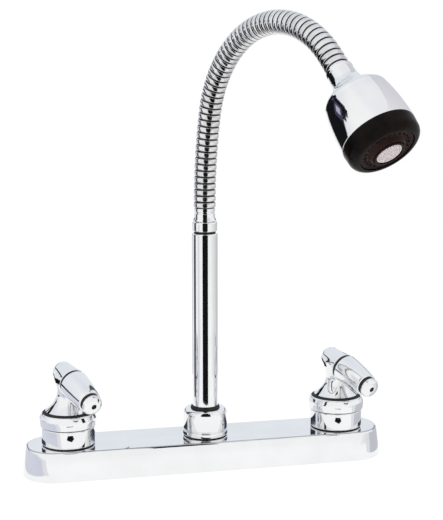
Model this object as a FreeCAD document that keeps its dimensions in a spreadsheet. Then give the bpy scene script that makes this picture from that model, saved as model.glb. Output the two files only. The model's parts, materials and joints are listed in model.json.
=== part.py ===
import FreeCAD, Part
import math
import os
import re

import Sketcher

# Two handle kitchen faucet on a three hole deck plate, with a ribbed hose neck and a spray head.
# Frame: origin on the spout axis at the underside of the plate, which is the deck's surface.
# +Z is up, -Y is towards the user and +X is the cold side. All sizes are in millimetres.

SIZES = {
    # deck plate and the gasket under it
    "plate_length": 270,
    "plate_depth": 52,
    "plate_height": 21,
    "plate_end_flat": 4,  # straight share of the plate's ends, between their corners
    "plate_draft": 7.5,  # degrees that the sides lean in
    "plate_wall": 2.2,
    "plate_round": 2,
    "handle_spacing": 203.2,
    "gasket_thickness": 2,
    "gasket_gap": 0.4,
    "hole_gap": 0.4,
    # supply shanks and the valve bodies above them
    "shank_radius": 10.4,
    "shank_bore": 5,
    "shank_length": 53,
    "shank_chamfer": 1,
    "supply_stretch": 20,
    "relief_depth": 1,
    "relief_width": 3,
    "valve_flange_radius": 15,
    "valve_flange_height": 3,
    "valve_radius": 13,
    "cartridge_radius": 9,
    "thread_gap": 0.1,
    "slip_gap": 0.05,
    # clamping washers and wing nuts under the deck
    "clamp_gap": 10,
    "washer_radius": 17,
    "washer_thickness": 2,
    "wing_nut_radius": 15.5,
    "wing_nut_height": 11,
    "wing_reach": 24,
    "wing_width": 4,
    "wing_height": 7.7,
    "wing_root": 2,
    "wing_count": 4,
    # waterway between the valve bodies and the spout
    "crossover_radius": 4.76,
    "crossover_wall": 0.8,
    "crossover_seat": 0.6,
    "center_radius": 13.5,
    "center_flange_radius": 16.5,
    "center_flange_height": 2,
    "center_collar": 13,
    "center_floor": 4,
    # quarter turn cartridges
    "seat_thickness": 1.5,
    "seat_bore": 3.6,
    "disc_radius": 6.4,
    "disc_thickness": 2.2,
    "disc_gap": 0.05,
    "disc_port_radius": 1.7,
    "disc_port_offset": 3.2,
    "driver_height": 4,
    "driver_gap": 0.2,
    "gallery_depth": 1,
    "stem_radius": 3.4,
    "stem_rise": 25.5,
    "broach_radius": 3,
    "ring_groove_depth": 0.9,
    "ring_section": 0.42,
    "ring_stand": 0.02,
    "groove_spare": 0.2,
    "stem_ring_drop": 3,
    "bonnet_radius": 11.5,
    "bonnet_height": 4,
    "window_width": 5,
    "window_height": 5,
    # fixed skirts under the handles
    "skirt_radius": 19.4,
    "skirt_height": 13.5,
    "skirt_wall": 1.8,
    "skirt_chamfer": 0.6,
    "turn_gap": 0.4,
    # handle hubs
    "hub_radius": 20.8,
    "hub_swell": 4.6,
    "hub_edge": 0.4,
    "hub_shoulder_radius": 19,
    "hub_shoulder": 9.5,
    "hub_cavity_radius": 14,
    "hub_cavity_depth": 4.8,
    "hub_cavity_gap": 0.3,
    "hub_cavity_chamfer": 2,
    "hub_flank": 26.5,
    "hub_flank_power": 2.45,
    "neck_radius": 7.6,
    "screw_radius": 1.5,
    "screw_height": 22,
    "screw_inset": 0.7,
    "stem_end_gap": 1,
    # levers
    "lever_turn": 19,  # degrees from straight forward towards the cold side
    "lever_tilt": 16.2,  # degrees that the lever slopes down to its front end
    "lever_setback": 6,
    "lever_rise": 38.2,
    "crown_radius": 7.7,
    "crown_length": 17.7,
    "crown_overlap": 2,
    "crown_front_radius": 10.2,
    "core_radius": 5,
    "barrel_radius": 10.7,
    "barrel_front_radius": 8.1,
    "barrel_length": 28.1,
    "barrel_edge": 1.2,
    "barrel_belly": 0.2,
    "cap_radius": 7.8,
    "cap_length": 5.6,
    "cap_gap": 0.3,
    "cap_spigot": 4,
    "dimple_radius": 1.8,
    "dimple_depth": 1,
    # spout nut, bushing and riser tube
    "nut_radius": 16.2,
    "nut_height": 20.5,
    "nut_foot_radius": 16.6,
    "nut_foot_height": 4,
    "nut_groove_depth": 0.8,
    "nut_groove_width": 1,
    "nut_lip": 2.9,
    "nut_round": 4.5,
    "riser_radius": 9.5,
    "riser_wall": 2.4,
    "riser_top": 172,
    "riser_shoulder": 2,
    "riser_insertion": 16.3,
    "riser_fit": 0.06,
    "riser_gap": 0.3,
    "bead_radius": 12.6,
    "bead_height": 2,
    "o_ring_section": 0.75,
    "o_ring_spacing": 6,
    "o_ring_inset": 4,
    "spigot_radius": 6.5,
    "spigot_bore": 5.2,
    "spigot_neck_radius": 7.3,
    "spigot_step": 6,
    "spigot_taper": 2,
    "seam_height": 1.4,
    "collar_radius": 9.1,
    "collar_height": 7.6,
    "collar_chamfer": 0.8,
    "ferrule_radius": 7.6,
    "ferrule_foot_radius": 8.6,
    "ferrule_flare": 2.6,
    "ferrule_height": 9.5,
    "crimp_depth": 0.5,
    "crimp_width": 1.5,
    # ribbed hose and the tube inside it
    "hose_radius": 8.1,
    "hose_root_radius": 7.3,
    "hose_bore": 6.2,
    "rib_pitch": 4.6,
    "hose_foot": 1.5,
    "hose_tail": 9.5,
    "low_bend_radius": 338,
    "low_bend_turn": 11.3,
    "top_bend_radius": 77.6,
    "top_bend_turn": 96.5,
    "end_bend_radius": 71.5,
    "head_dip": 46.3,  # degrees that the head points below level
    "spout_swing": 23,  # degrees that the spout stands from straight forward
    "tube_radius": 4.8,
    "tube_bore": 3.4,
    "tube_seat": 1,
    "tube_end_gap": 0.3,
    # neck nipple that the head turns on
    "nipple_radius": 5.5,
    "nipple_tail": 7,
    "nipple_tail_chamfer": 0.5,
    "nipple_reach": 12,
    "neck_flange_radius": 7.2,
    "neck_flange_width": 1.5,
    "swivel_gap": 0.1,
    "clip_width": 1,
    "clip_depth": 0.7,
    "clip_radius": 6.6,
    "clip_place": 8,
    "swivel_ring_place": 4.5,
    # spray head, along its own axis from the neck
    "head_gap": 0.3,
    "bell_radius": 8.6,
    "bell_lip": 0.4,
    "bell_lip_height": 2,
    "bell_end_radius": 9.8,
    "bell_length": 12.6,
    "dome_radius": 21.2,
    "dome_length": 12.6,
    "dome_power": 1.4,
    "body_radius": 22.6,
    "body_end_radius": 24.2,
    "body_length": 28.4,
    "head_wall": 2.2,
    "socket_gap": 0.5,
    "core_gap": 0.3,
    "core_play": 0.2,
    "core_recess": 0.8,
    "core_length": 20,
    "core_chamfer": 3,
    "core_plug_radius": 17.6,
    "waterway_radius": 3.8,
    "spigot_shaft_radius": 10,
    "spigot_shaft_length": 7,
    # selector ring, face and aerator
    "selector_gap": 0.4,
    "selector_length": 11.4,
    "selector_radius": 24.2,
    "selector_front_radius": 23.5,
    "selector_bore": 17.9,
    "selector_round": 5.5,
    "selector_edge": 0.3,
    "selector_play": 0.15,
    "face_inset": 0.6,
    "face_thickness": 3.8,
    "face_hub_radius": 12,
    "face_boss_radius": 13.2,
    "face_boss_land": 0.9,
    "face_boss_rise": 2.6,
    "nozzle_count": 24,
    "nozzle_radius": 0.65,
    "nozzle_pitch_radius": 14.6,
    "nozzle_stand": 0.5,
    "nozzle_band": 1.9,
    "nozzle_pad_thickness": 1.2,
    "aerator_radius": 10,
    "aerator_wall": 1.4,
    "aerator_ledge": 1.2,
    "aerator_stand": 3.4,
    "screen_thickness": 0.8,
    "screen_depth": 2.4,
    "screen_hole_radius": 0.8,
}

FLANK_STEPS = 7
DOME_STEPS = 6

# Shares of one rib's pitch, with the size that the hose's outside has there.
RIB_SECTION = (
    (0.0, "hose_root_radius"),
    (0.22, "hose_radius"),
    (0.72, "hose_radius"),
    (0.94, "hose_root_radius"),
)
# Rings of holes in the aerator's screen: share of its radius, and number of holes.
SCREEN_RINGS = ((0.38, 6), (0.74, 12))

# Heights and stations that several pieces share, written once.
DECK = "gasket_thickness"
PLATE_CORNER = "(plate_depth - plate_end_flat) / 2"
SEAT_BASE = f"{DECK} + valve_flange_height"
DISC_BASE = f"{SEAT_BASE} + seat_thickness"
MOVING_BASE = f"{DISC_BASE} + disc_thickness + disc_gap"
DRIVER_BASE = f"{MOVING_BASE} + disc_thickness"
DRIVER_TOP = f"{DRIVER_BASE} + driver_height"
PORT_HEIGHT = "(gasket_thickness + plate_height - plate_wall) / 2"
SKIRT_TOP = "plate_height + skirt_height"
HUB_BASE = f"{SKIRT_TOP} + turn_gap"
STEM_TOP = f"{SKIRT_TOP} + stem_rise"
STEM_RING = f"{SKIRT_TOP} - stem_ring_drop"
CAVITY_TOP = f"{SKIRT_TOP} + hub_cavity_depth + hub_cavity_gap"
NECK_TOP = f"{SKIRT_TOP} + lever_rise - crown_overlap"
SCREW_LEVEL = f"{SKIRT_TOP} + screw_height"
COLLAR_TOP = "plate_height + center_collar"
BEAD_BASE = f"{COLLAR_TOP} + riser_gap"
BEAD_TOP = f"{BEAD_BASE} + bead_height"
NUT_TOP = "plate_height + nut_height"
LIP_BASE = f"{NUT_TOP} - nut_lip"
NUT_BORE = "center_radius + thread_gap"
RISER_FOOT = f"{COLLAR_TOP} - riser_insertion"
O_RING_LOW = f"{RISER_FOOT} + o_ring_inset"
O_RING_HIGH = f"{O_RING_LOW} + o_ring_spacing"
SEAM_TOP = "riser_top + seam_height"
COLLAR_END = f"{SEAM_TOP} + collar_height"
HOSE_START = f"{COLLAR_END} + ferrule_height"
BARREL_END = "crown_length + barrel_length"
FLANGE_END = "neck_flange_width"
BELL_START = f"{FLANGE_END} + head_gap"
BELL_END = f"{BELL_START} + bell_length"
DOME_END = f"{BELL_END} + dome_length"
BODY_END = f"{DOME_END} + body_length"
SOCKET_END = "nipple_reach + socket_gap"
CORE_END = f"{BODY_END} - core_recess"
CORE_START = f"{CORE_END} - core_length"
RING_START = f"{BODY_END} + selector_gap"
RING_END = f"{RING_START} + selector_length"
FACE_FRONT = f"{RING_END} - face_inset"
FACE_BACK = f"{FACE_FRONT} - face_thickness"
SHAFT_END = f"{BODY_END} + spigot_shaft_length"
AERATOR_START = f"{SHAFT_END} + core_gap"

doc = FreeCAD.newDocument("faucet")
sheet = doc.addObject("Spreadsheet::Sheet", "sizes")
for row, (alias, number) in enumerate(SIZES.items(), start=1):
    sheet.set(f"A{row}", alias)
    sheet.set(f"B{row}", str(number))
    sheet.setAlias(f"B{row}", alias)
doc.recompute()

kept = []


def bind(text):
    """The text with each size's name written as its cell in the sheet."""
    return re.sub(r"[A-Za-z_]+", lambda w: f"sizes.{w[0]}" if w[0] in SIZES else w[0], str(text))


def value(text):
    """The number that an expression over the sheet's sizes comes to."""
    return float(sheet.evalExpression(bind(text)))


def set_size(item, prop, text):
    """Binds one property of an object to an expression over the sheet's sizes."""
    item.setExpression(prop, bind(text))


def keep(item, name, place=None):
    """Lists an object as a piece of the faucet, with its name and its place."""
    item.Label = name
    if place is not None:
        item.Placement = place
    kept.append(item)
    return item


def moved(x=0.0, y=0.0, z=0.0, turn=0.0):
    """A placement at a point, turned about Z."""
    return FreeCAD.Placement(
        FreeCAD.Vector(x, y, z), FreeCAD.Rotation(FreeCAD.Vector(0, 0, 1), turn)
    )


def origin_plane(body, role):
    """One of a body's own origin planes, by its role."""
    return next(f for f in body.Origin.OriginFeatures if f.Role == role)


def new_body(name):
    """An empty body."""
    return doc.addObject("PartDesign::Body", name)


def new_sketch(body, name, role, height=None):
    """A sketch on one of the body's origin planes, raised along its normal by an expression."""
    sketch = body.newObject("Sketcher::SketchObject", name)
    sketch.AttachmentSupport = [(origin_plane(body, role), "")]
    sketch.MapMode = "FlatFace"
    if height is not None:
        set_size(sketch, "AttachmentOffset.Base.z", height)
    return sketch


def fix_point(sketch, edge, end, x, y):
    """Ties one end of an edge to two expressions, measured from the sketch's origin."""
    for kind, text in (("DistanceX", x), ("DistanceY", y)):
        index = sketch.addConstraint(
            Sketcher.Constraint(kind, -1, 1, edge, end, value(text))
        )
        set_size(sketch, f"Constraints[{index}]", text)


def add_outline(sketch, points):
    """A closed outline of straight edges through points given as pairs of expressions."""
    numbers = [FreeCAD.Vector(value(x), value(y), 0) for x, y in points]
    first = sketch.GeometryCount
    for here, there in zip(numbers, numbers[1:] + numbers[:1]):
        sketch.addGeometry(Part.LineSegment(here, there), False)
    for index in range(len(points)):
        after = first + (index + 1) % len(points)
        sketch.addConstraint(Sketcher.Constraint("Coincident", first + index, 2, after, 1))
        fix_point(sketch, first + index, 1, *points[index])


def add_circle(sketch, radius, x="0", y="0"):
    """A circle whose radius and centre are expressions."""
    center = FreeCAD.Vector(value(x), value(y), 0)
    edge = sketch.addGeometry(
        Part.Circle(center, FreeCAD.Vector(0, 0, 1), value(radius)), False
    )
    index = sketch.addConstraint(Sketcher.Constraint("Radius", edge, value(radius)))
    set_size(sketch, f"Constraints[{index}]", radius)
    if (x, y) == ("0", "0"):
        sketch.addConstraint(Sketcher.Constraint("Coincident", edge, 3, -1, 1))
    else:
        fix_point(sketch, edge, 3, x, y)


def add_round_rectangle(sketch, length, depth, corner):
    """A rectangle about the origin with rounded corners, as four lines and four arcs."""
    half_x, half_y, r = value(length) / 2, value(depth) / 2, value(corner)
    up = FreeCAD.Vector(0, 0, 1)
    corners = ((1, 1, 0), (-1, 1, 90), (-1, -1, 180), (1, -1, 270))
    sides = []
    for sx, sy, start in corners:
        center = FreeCAD.Vector(sx * (half_x - r), sy * (half_y - r), 0)
        circle = Part.Circle(center, up, r)
        a, b = math.radians(start), math.radians(start + 90)
        sides.append(sketch.addGeometry(Part.ArcOfCircle(circle, a, b), False))
    for index, arc in enumerate(sides):
        after = sides[(index + 1) % 4]
        here = sketch.getPoint(arc, 2)
        there = sketch.getPoint(after, 1)
        line = sketch.addGeometry(Part.LineSegment(here, there), False)
        sketch.addConstraint(Sketcher.Constraint("Tangent", arc, 2, line, 1))
        sketch.addConstraint(Sketcher.Constraint("Tangent", line, 2, after, 1))
    for index, arc in enumerate(sides):
        sx, sy, _ = corners[index]
        half_length = f"{sx} * (({length}) / 2 - ({corner}))"
        half_depth = f"{sy} * (({depth}) / 2 - ({corner}))"
        fix_point(sketch, arc, 3, half_length, half_depth)
    index = sketch.addConstraint(Sketcher.Constraint("Radius", sides[0], r))
    set_size(sketch, f"Constraints[{index}]", corner)


def turned(name, points):
    """A body turned about Z from an outline of (radius, height) expressions."""
    body = new_body(name)
    sketch = new_sketch(body, f"{name}_profile", "XZ_Plane")
    add_outline(sketch, points)
    turn = body.newObject("PartDesign::Revolution", f"{name}_turning")
    turn.Profile = sketch
    turn.ReferenceAxis = (sketch, ["V_Axis"])
    turn.Angle = 360
    sketch.Visibility = False
    return body


def ring(name, inner, outer, base, top):
    """A plain ring turned about Z."""
    return turned(name, [(inner, base), (outer, base), (outer, top), (inner, top)])


def padded(body, sketch, length):
    """A pad of a sketch along its normal."""
    pad = body.newObject("PartDesign::Pad", f"{sketch.Name}_pad")
    pad.Profile = sketch
    set_size(pad, "Length", length)
    return pad


def pocketed(body, sketch, length=None, reverse=False, both=False):
    """A pocket of a sketch, to a depth or right through, which must take material away."""
    doc.recompute()
    before = body.Shape.Volume
    pocket = body.newObject("PartDesign::Pocket", f"{sketch.Name}_pocket")
    pocket.Profile = sketch
    if length is None:
        pocket.Type = "ThroughAll"
    else:
        pocket.Type = "Length"
        set_size(pocket, "Length", length)
    pocket.Reversed = reverse
    if both:
        pocket.Midplane = True
    doc.recompute()
    assert body.Shape.Volume < before - 1e-3, f"{pocket.Name} cuts nothing"
    return pocket


def around(body, feature, count):
    """A polar pattern of one feature about the body's Z axis."""
    pattern = body.newObject("PartDesign::PolarPattern", f"{feature.Name}_around")
    pattern.Originals = [feature]
    pattern.Axis = (origin_plane(body, "Z_Axis"), [""])
    pattern.Angle = 360
    set_size(pattern, "Occurrences", count)
    body.Tip = pattern
    doc.recompute()
    return pattern


def rounded(body, feature, radius, chosen):
    """A fillet on the edges of a feature that the test picks."""
    doc.recompute()
    names = [f"Edge{i}" for i, e in enumerate(feature.Shape.Edges, start=1) if chosen(e)]
    assert names, f"{feature.Name} has no such edge"
    fillet = body.newObject("PartDesign::Fillet", f"{feature.Name}_round")
    fillet.Base = (feature, names)
    set_size(fillet, "Radius", radius)
    body.Tip = fillet
    doc.recompute()
    return fillet


def at_height(height):
    """A test for edges that lie wholly at one height."""
    return lambda e: abs(e.BoundBox.ZMin - height) < 1e-4 and abs(e.BoundBox.ZMax - height) < 1e-4


def rim_at(height, radius):
    """A test for a circular rim of one radius at one height."""
    level = at_height(height)
    return lambda e: level(e) and abs(e.BoundBox.XMax - radius) < 1e-3


def torus(name, radius, section):
    """A rubber ring as a torus about Z."""
    item = doc.addObject("Part::Torus", name)
    set_size(item, "Radius1", radius)
    set_size(item, "Radius2", section)
    return item


def cylinder(name, radius, height):
    """A plain cylinder up Z."""
    item = doc.addObject("Part::Cylinder", name)
    set_size(item, "Radius", radius)
    set_size(item, "Height", height)
    return item


def boolean(kind, name, base, tool):
    """A cut or a fusion of two objects."""
    item = doc.addObject(f"Part::{kind}", name)
    item.Base = base
    item.Tool = tool
    return item


def deck_plate():
    """The hollow plate that covers the deck's three holes, its sides leaning in."""
    body = new_body("deck_plate")
    outline = new_sketch(body, "plate_outline", "XY_Plane")
    add_round_rectangle(outline, "plate_length", "plate_depth", PLATE_CORNER)
    shell = padded(body, outline, "plate_height")
    set_size(shell, "TaperAngle", "-plate_draft")
    rounded(body, shell, "plate_round", at_height(value("plate_height")))
    hollow = new_sketch(body, "plate_hollow", "XY_Plane")
    add_round_rectangle(
        hollow,
        "plate_length - 2 * plate_wall",
        "plate_depth - 2 * plate_wall",
        f"{PLATE_CORNER} - plate_wall",
    )
    pocket = pocketed(body, hollow, "plate_height - plate_wall", reverse=True)
    set_size(pocket, "TaperAngle", "-plate_draft")
    holes = new_sketch(body, "plate_holes", "XY_Plane")
    add_circle(holes, "center_radius + hole_gap")
    for side in ("-1", "1"):
        add_circle(holes, "valve_radius + hole_gap", f"{side} * handle_spacing / 2")
    pocketed(body, holes, reverse=True)
    keep(body, "deck_plate")


def deck_gasket():
    """The sheet that seals the plate to the deck, inside the plate's rim."""
    body = new_body("deck_gasket")
    outline = new_sketch(body, "gasket_outline", "XY_Plane")
    inset = "2 * (plate_wall + gasket_gap + gasket_thickness * tan(plate_draft))"
    add_round_rectangle(
        outline,
        f"plate_length - {inset}",
        f"plate_depth - {inset}",
        f"{PLATE_CORNER} - plate_wall - gasket_gap",
    )
    for side in ("-1", "1"):
        add_circle(outline, "shank_radius + hole_gap", f"{side} * handle_spacing / 2")
    padded(body, outline, "gasket_thickness")
    keep(body, "deck_gasket")


def side_port(body, name, radius, both=False):
    """A level round hole for a crossover tube, from the axis out along +X or both ways."""
    sketch = new_sketch(body, name, "YZ_Plane")
    add_circle(sketch, radius, "0", PORT_HEIGHT)
    if both:
        pocketed(body, sketch, both=True)
    else:
        pocketed(body, sketch, "valve_radius + 2", reverse=True)


def valve_body(name, place):
    """The brass body of one valve, with the threaded shank that goes through the deck."""
    foot = "-shank_length"
    thread_top = f"{foot} + shank_chamfer + supply_stretch"
    groove_top = f"{thread_top} + relief_width"
    body = turned(f"{name}_valve_body", [
        ("shank_bore", foot),
        ("shank_radius - shank_chamfer", foot),
        ("shank_radius", f"{foot} + shank_chamfer"),
        ("shank_radius", thread_top),
        ("shank_radius - relief_depth", thread_top),
        ("shank_radius - relief_depth", groove_top),
        ("shank_radius", groove_top),
        ("shank_radius", DECK),
        ("valve_flange_radius", DECK),
        ("valve_flange_radius", SEAT_BASE),
        ("valve_radius", SEAT_BASE),
        ("valve_radius", SKIRT_TOP),
        ("cartridge_radius", SKIRT_TOP),
        ("cartridge_radius", SEAT_BASE),
        ("shank_bore", SEAT_BASE),
    ])
    side_port(body, f"{name}_port", "crossover_radius + slip_gap")
    keep(body, f"{name}_valve_body", place)


def clamp(name, place):
    """The washer and the wing nut that draw one shank down onto the deck."""
    washer_low = "-clamp_gap - washer_thickness"
    nut_low = f"{washer_low} - wing_nut_height"
    bore = "shank_radius + thread_gap"
    washer = ring(f"{name}_deck_washer", "shank_radius + hole_gap", "washer_radius",
                  washer_low, "-clamp_gap")
    keep(washer, f"{name}_deck_washer", place)
    nut = ring(f"{name}_wing_nut", bore, "wing_nut_radius", nut_low, washer_low)
    wing = new_sketch(nut, f"{name}_wing", "XY_Plane", nut_low)
    add_outline(wing, [
        ("wing_nut_radius - wing_root", "-wing_width / 2"),
        ("wing_reach", "-wing_width / 2"),
        ("wing_reach", "wing_width / 2"),
        ("wing_nut_radius - wing_root", "wing_width / 2"),
    ])
    pad = padded(nut, wing, "wing_height")
    around(nut, pad, "wing_count")
    keep(nut, f"{name}_wing_nut", place)


def ported_disc(name, base, count):
    """A ceramic disc with ports about its centre."""
    disc = new_body(name)
    outline = new_sketch(disc, f"{name}_outline", "XY_Plane", base)
    add_circle(outline, "disc_radius")
    padded(disc, outline, "disc_thickness")
    port = new_sketch(disc, f"{name}_port", "XY_Plane", base)
    add_circle(port, "disc_port_radius", "disc_port_offset")
    doc.recompute()
    around(disc, pocketed(disc, port, reverse=True), count)
    return disc


def cartridge(name, place):
    """One quarter turn cartridge: shell, seat, fixed and moving discs, stem and its ring."""
    shell_bore = "disc_radius + thread_gap"
    stem_bore = "stem_radius + thread_gap"
    shell_low = "cartridge_radius - gallery_depth"
    shell = turned(f"{name}_cartridge", [
        (shell_bore, DISC_BASE),
        (shell_low, DISC_BASE),
        (shell_low, f"{DRIVER_TOP} + gallery_depth"),
        ("cartridge_radius - thread_gap", f"{DRIVER_TOP} + gallery_depth"),
        ("cartridge_radius - thread_gap", SKIRT_TOP),
        ("bonnet_radius", SKIRT_TOP),
        ("bonnet_radius", f"{SKIRT_TOP} + bonnet_height"),
        (stem_bore, f"{SKIRT_TOP} + bonnet_height"),
        (stem_bore, f"{DRIVER_TOP} + driver_gap"),
        (shell_bore, f"{DRIVER_TOP} + driver_gap"),
    ])
    window = new_sketch(shell, f"{name}_window", "XZ_Plane")
    add_outline(window, [
        ("-window_width / 2", f"{PORT_HEIGHT} - window_height / 2"),
        ("window_width / 2", f"{PORT_HEIGHT} - window_height / 2"),
        ("window_width / 2", f"{PORT_HEIGHT} + window_height / 2"),
        ("-window_width / 2", f"{PORT_HEIGHT} + window_height / 2"),
    ])
    pocketed(shell, window, both=True)
    keep(shell, f"{name}_cartridge", place)
    seat = ring(f"{name}_seat", "seat_bore", "cartridge_radius - thread_gap",
                SEAT_BASE, DISC_BASE)
    keep(seat, f"{name}_seat", place)
    keep(ported_disc(f"{name}_fixed_disc", DISC_BASE, "2"), f"{name}_fixed_disc", place)
    keep(ported_disc(f"{name}_moving_disc", MOVING_BASE, "2"), f"{name}_moving_disc", place)
    groove = "stem_radius - ring_groove_depth"
    stem = turned(f"{name}_stem", [
        ("0", DRIVER_BASE),
        ("disc_radius", DRIVER_BASE),
        ("disc_radius", DRIVER_TOP),
        ("stem_radius", DRIVER_TOP),
        ("stem_radius", STEM_RING),
        (groove, STEM_RING),
        (groove, f"{STEM_RING} + 2 * ring_section + groove_spare"),
        ("stem_radius", f"{STEM_RING} + 2 * ring_section + groove_spare"),
        ("stem_radius", f"{SKIRT_TOP} + hub_cavity_depth"),
        ("broach_radius", f"{SKIRT_TOP} + hub_cavity_depth"),
        ("broach_radius", STEM_TOP),
        ("0", STEM_TOP),
    ])
    keep(stem, f"{name}_stem", place)
    seal = torus(f"{name}_stem_ring", f"{groove} + ring_section + ring_stand", "ring_section")
    height = value(f"{STEM_RING} + ring_section + groove_spare / 2")
    keep(seal, f"{name}_stem_ring", place * moved(z=height))


def skirt(name, place):
    """The fixed chrome skirt round one valve."""
    top_bore = "valve_radius + thread_gap"
    inner = "skirt_radius - skirt_wall"
    body = turned(f"{name}_skirt", [
        (inner, "plate_height"),
        ("skirt_radius", "plate_height"),
        ("skirt_radius", f"{SKIRT_TOP} - skirt_chamfer"),
        ("skirt_radius - skirt_chamfer", SKIRT_TOP),
        (top_bore, SKIRT_TOP),
        (top_bore, f"{SKIRT_TOP} - skirt_wall"),
        (inner, f"{SKIRT_TOP} - skirt_wall"),
    ])
    keep(body, f"{name}_skirt", place)


def lever_frame():
    """The lever's place on its handle: Z runs along the lever from the crown to the front."""
    turn = math.radians(value("lever_turn"))
    tilt = math.radians(value("lever_tilt"))
    ahead = FreeCAD.Vector(math.sin(turn), -math.cos(turn), 0)
    along = ahead * math.cos(tilt) - FreeCAD.Vector(0, 0, math.sin(tilt))
    across = FreeCAD.Vector(math.cos(turn), math.sin(turn), 0)
    base = ahead * -value("lever_setback") + FreeCAD.Vector(0, 0, value(f"{SKIRT_TOP} + lever_rise"))
    return FreeCAD.Placement(base, FreeCAD.Rotation(across, FreeCAD.Vector(), along, "ZXY"))


def hub_profile():
    """The hub's outline: a bell at the foot that sweeps in to a slim neck."""
    shoulder = f"{HUB_BASE} + hub_shoulder"
    points = [
        ("hub_cavity_radius", HUB_BASE),
        ("skirt_radius", HUB_BASE),
        ("hub_radius - hub_edge", f"{HUB_BASE} + hub_swell * 0.6"),
        ("hub_radius", f"{HUB_BASE} + hub_swell"),
        ("hub_radius - hub_edge", f"{HUB_BASE} + (hub_swell + hub_shoulder) / 2"),
    ]
    for step in range(FLANK_STEPS + 1):
        share = f"({step} / {FLANK_STEPS})"
        fall = f"pow(1 - {share}; hub_flank_power)"
        points.append((
            f"neck_radius + (hub_shoulder_radius - neck_radius) * {fall}",
            f"{shoulder} + (hub_flank - hub_shoulder) * {share}",
        ))
    points += [
        ("neck_radius", NECK_TOP),
        ("0", NECK_TOP),
        ("0", CAVITY_TOP),
        ("hub_cavity_radius - hub_cavity_chamfer", CAVITY_TOP),
        ("hub_cavity_radius", f"{CAVITY_TOP} - hub_cavity_chamfer"),
    ]
    return points


def crown_profile():
    """The crown's outline along the lever, with the core rod that the barrel slides over."""
    points = []
    for step in range(DOME_STEPS + 1):
        angle = f"({90 * step / DOME_STEPS:.3f})"
        points.append((f"crown_radius * sin({angle})", f"-crown_radius * cos({angle})"))
    core_end = f"{BARREL_END} - cap_spigot - cap_gap"
    return points + [
        ("crown_front_radius", "crown_length - barrel_edge"),
        ("crown_front_radius - barrel_edge", "crown_length"),
        ("core_radius", "crown_length"),
        ("core_radius", core_end),
        ("0", core_end),
    ]


def handle(name, place):
    """One lever handle: hub and crown in one, the barrel, the front cap and the set screw."""
    lever = lever_frame()
    hub = turned(f"{name}_hub_body", hub_profile())
    crown = turned(f"{name}_crown", crown_profile())
    crown.Placement = lever
    casting = boolean("Fuse", f"{name}_casting", hub, crown)
    bore_start = f"{CAVITY_TOP} - hub_cavity_chamfer"
    bore_depth = f"{STEM_TOP} + stem_end_gap - ({bore_start})"
    bore = cylinder(f"{name}_stem_bore", "broach_radius + slip_gap", bore_depth)
    bore.Placement = moved(z=value(bore_start))
    bored = boolean("Cut", f"{name}_bored_casting", casting, bore)
    drill = cylinder(f"{name}_screw_hole", "screw_radius + thread_gap", "neck_radius * 1.5")
    rear = lever.Rotation.multVec(FreeCAD.Vector(0, 0, -1))
    level = FreeCAD.Vector(rear.x, rear.y, 0).normalize()
    back = FreeCAD.Rotation(FreeCAD.Vector(0, 0, 1), level)
    start = level * value("broach_radius * 0.5") + FreeCAD.Vector(0, 0, value(SCREW_LEVEL))
    drill.Placement = FreeCAD.Placement(start, back)
    drilled = boolean("Cut", f"{name}_handle_hub", bored, drill)
    keep(drilled, f"{name}_handle_hub", place)
    screw_length = "neck_radius - broach_radius - thread_gap - screw_inset"
    screw = cylinder(f"{name}_set_screw", "screw_radius", screw_length)
    seat = level * value("broach_radius + thread_gap") + FreeCAD.Vector(0, 0, value(SCREW_LEVEL))
    keep(screw, f"{name}_set_screw", place * FreeCAD.Placement(seat, back))
    bore = "core_radius + thread_gap"
    barrel = turned(f"{name}_grip_barrel", [
        (bore, "crown_length"),
        ("barrel_radius - barrel_edge", "crown_length"),
        ("barrel_radius - barrel_edge * 0.3", "crown_length + barrel_edge * 0.3"),
        ("barrel_radius", "crown_length + barrel_edge"),
        ("barrel_radius - barrel_belly", "crown_length + barrel_length * 0.2"),
        ("barrel_radius * 0.55 + barrel_front_radius * 0.45", "crown_length + barrel_length * 0.6"),
        ("barrel_front_radius", BARREL_END),
        (bore, BARREL_END),
    ])
    keep(barrel, f"{name}_grip_barrel", place * lever)
    flare = [
        ("0", f"{BARREL_END} - cap_spigot"),
        ("core_radius", f"{BARREL_END} - cap_spigot"),
        ("core_radius", f"{BARREL_END} + cap_gap"),
        ("cap_radius", f"{BARREL_END} + cap_gap"),
    ]
    for step in range(DOME_STEPS):
        angle = f"({90 * step / DOME_STEPS:.3f})"
        flare.append((
            f"cap_radius * pow(cos({angle}); 0.8)",
            f"{BARREL_END} + cap_length * (0.25 + 0.75 * sin({angle}))",
        ))
    flare += [
        ("dimple_radius", f"{BARREL_END} + cap_length"),
        ("dimple_radius * 0.8", f"{BARREL_END} + cap_length - dimple_depth"),
        ("0", f"{BARREL_END} + cap_length - dimple_depth"),
    ]
    cap = turned(f"{name}_end_cap", flare)
    keep(cap, f"{name}_end_cap", place * lever)


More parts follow.
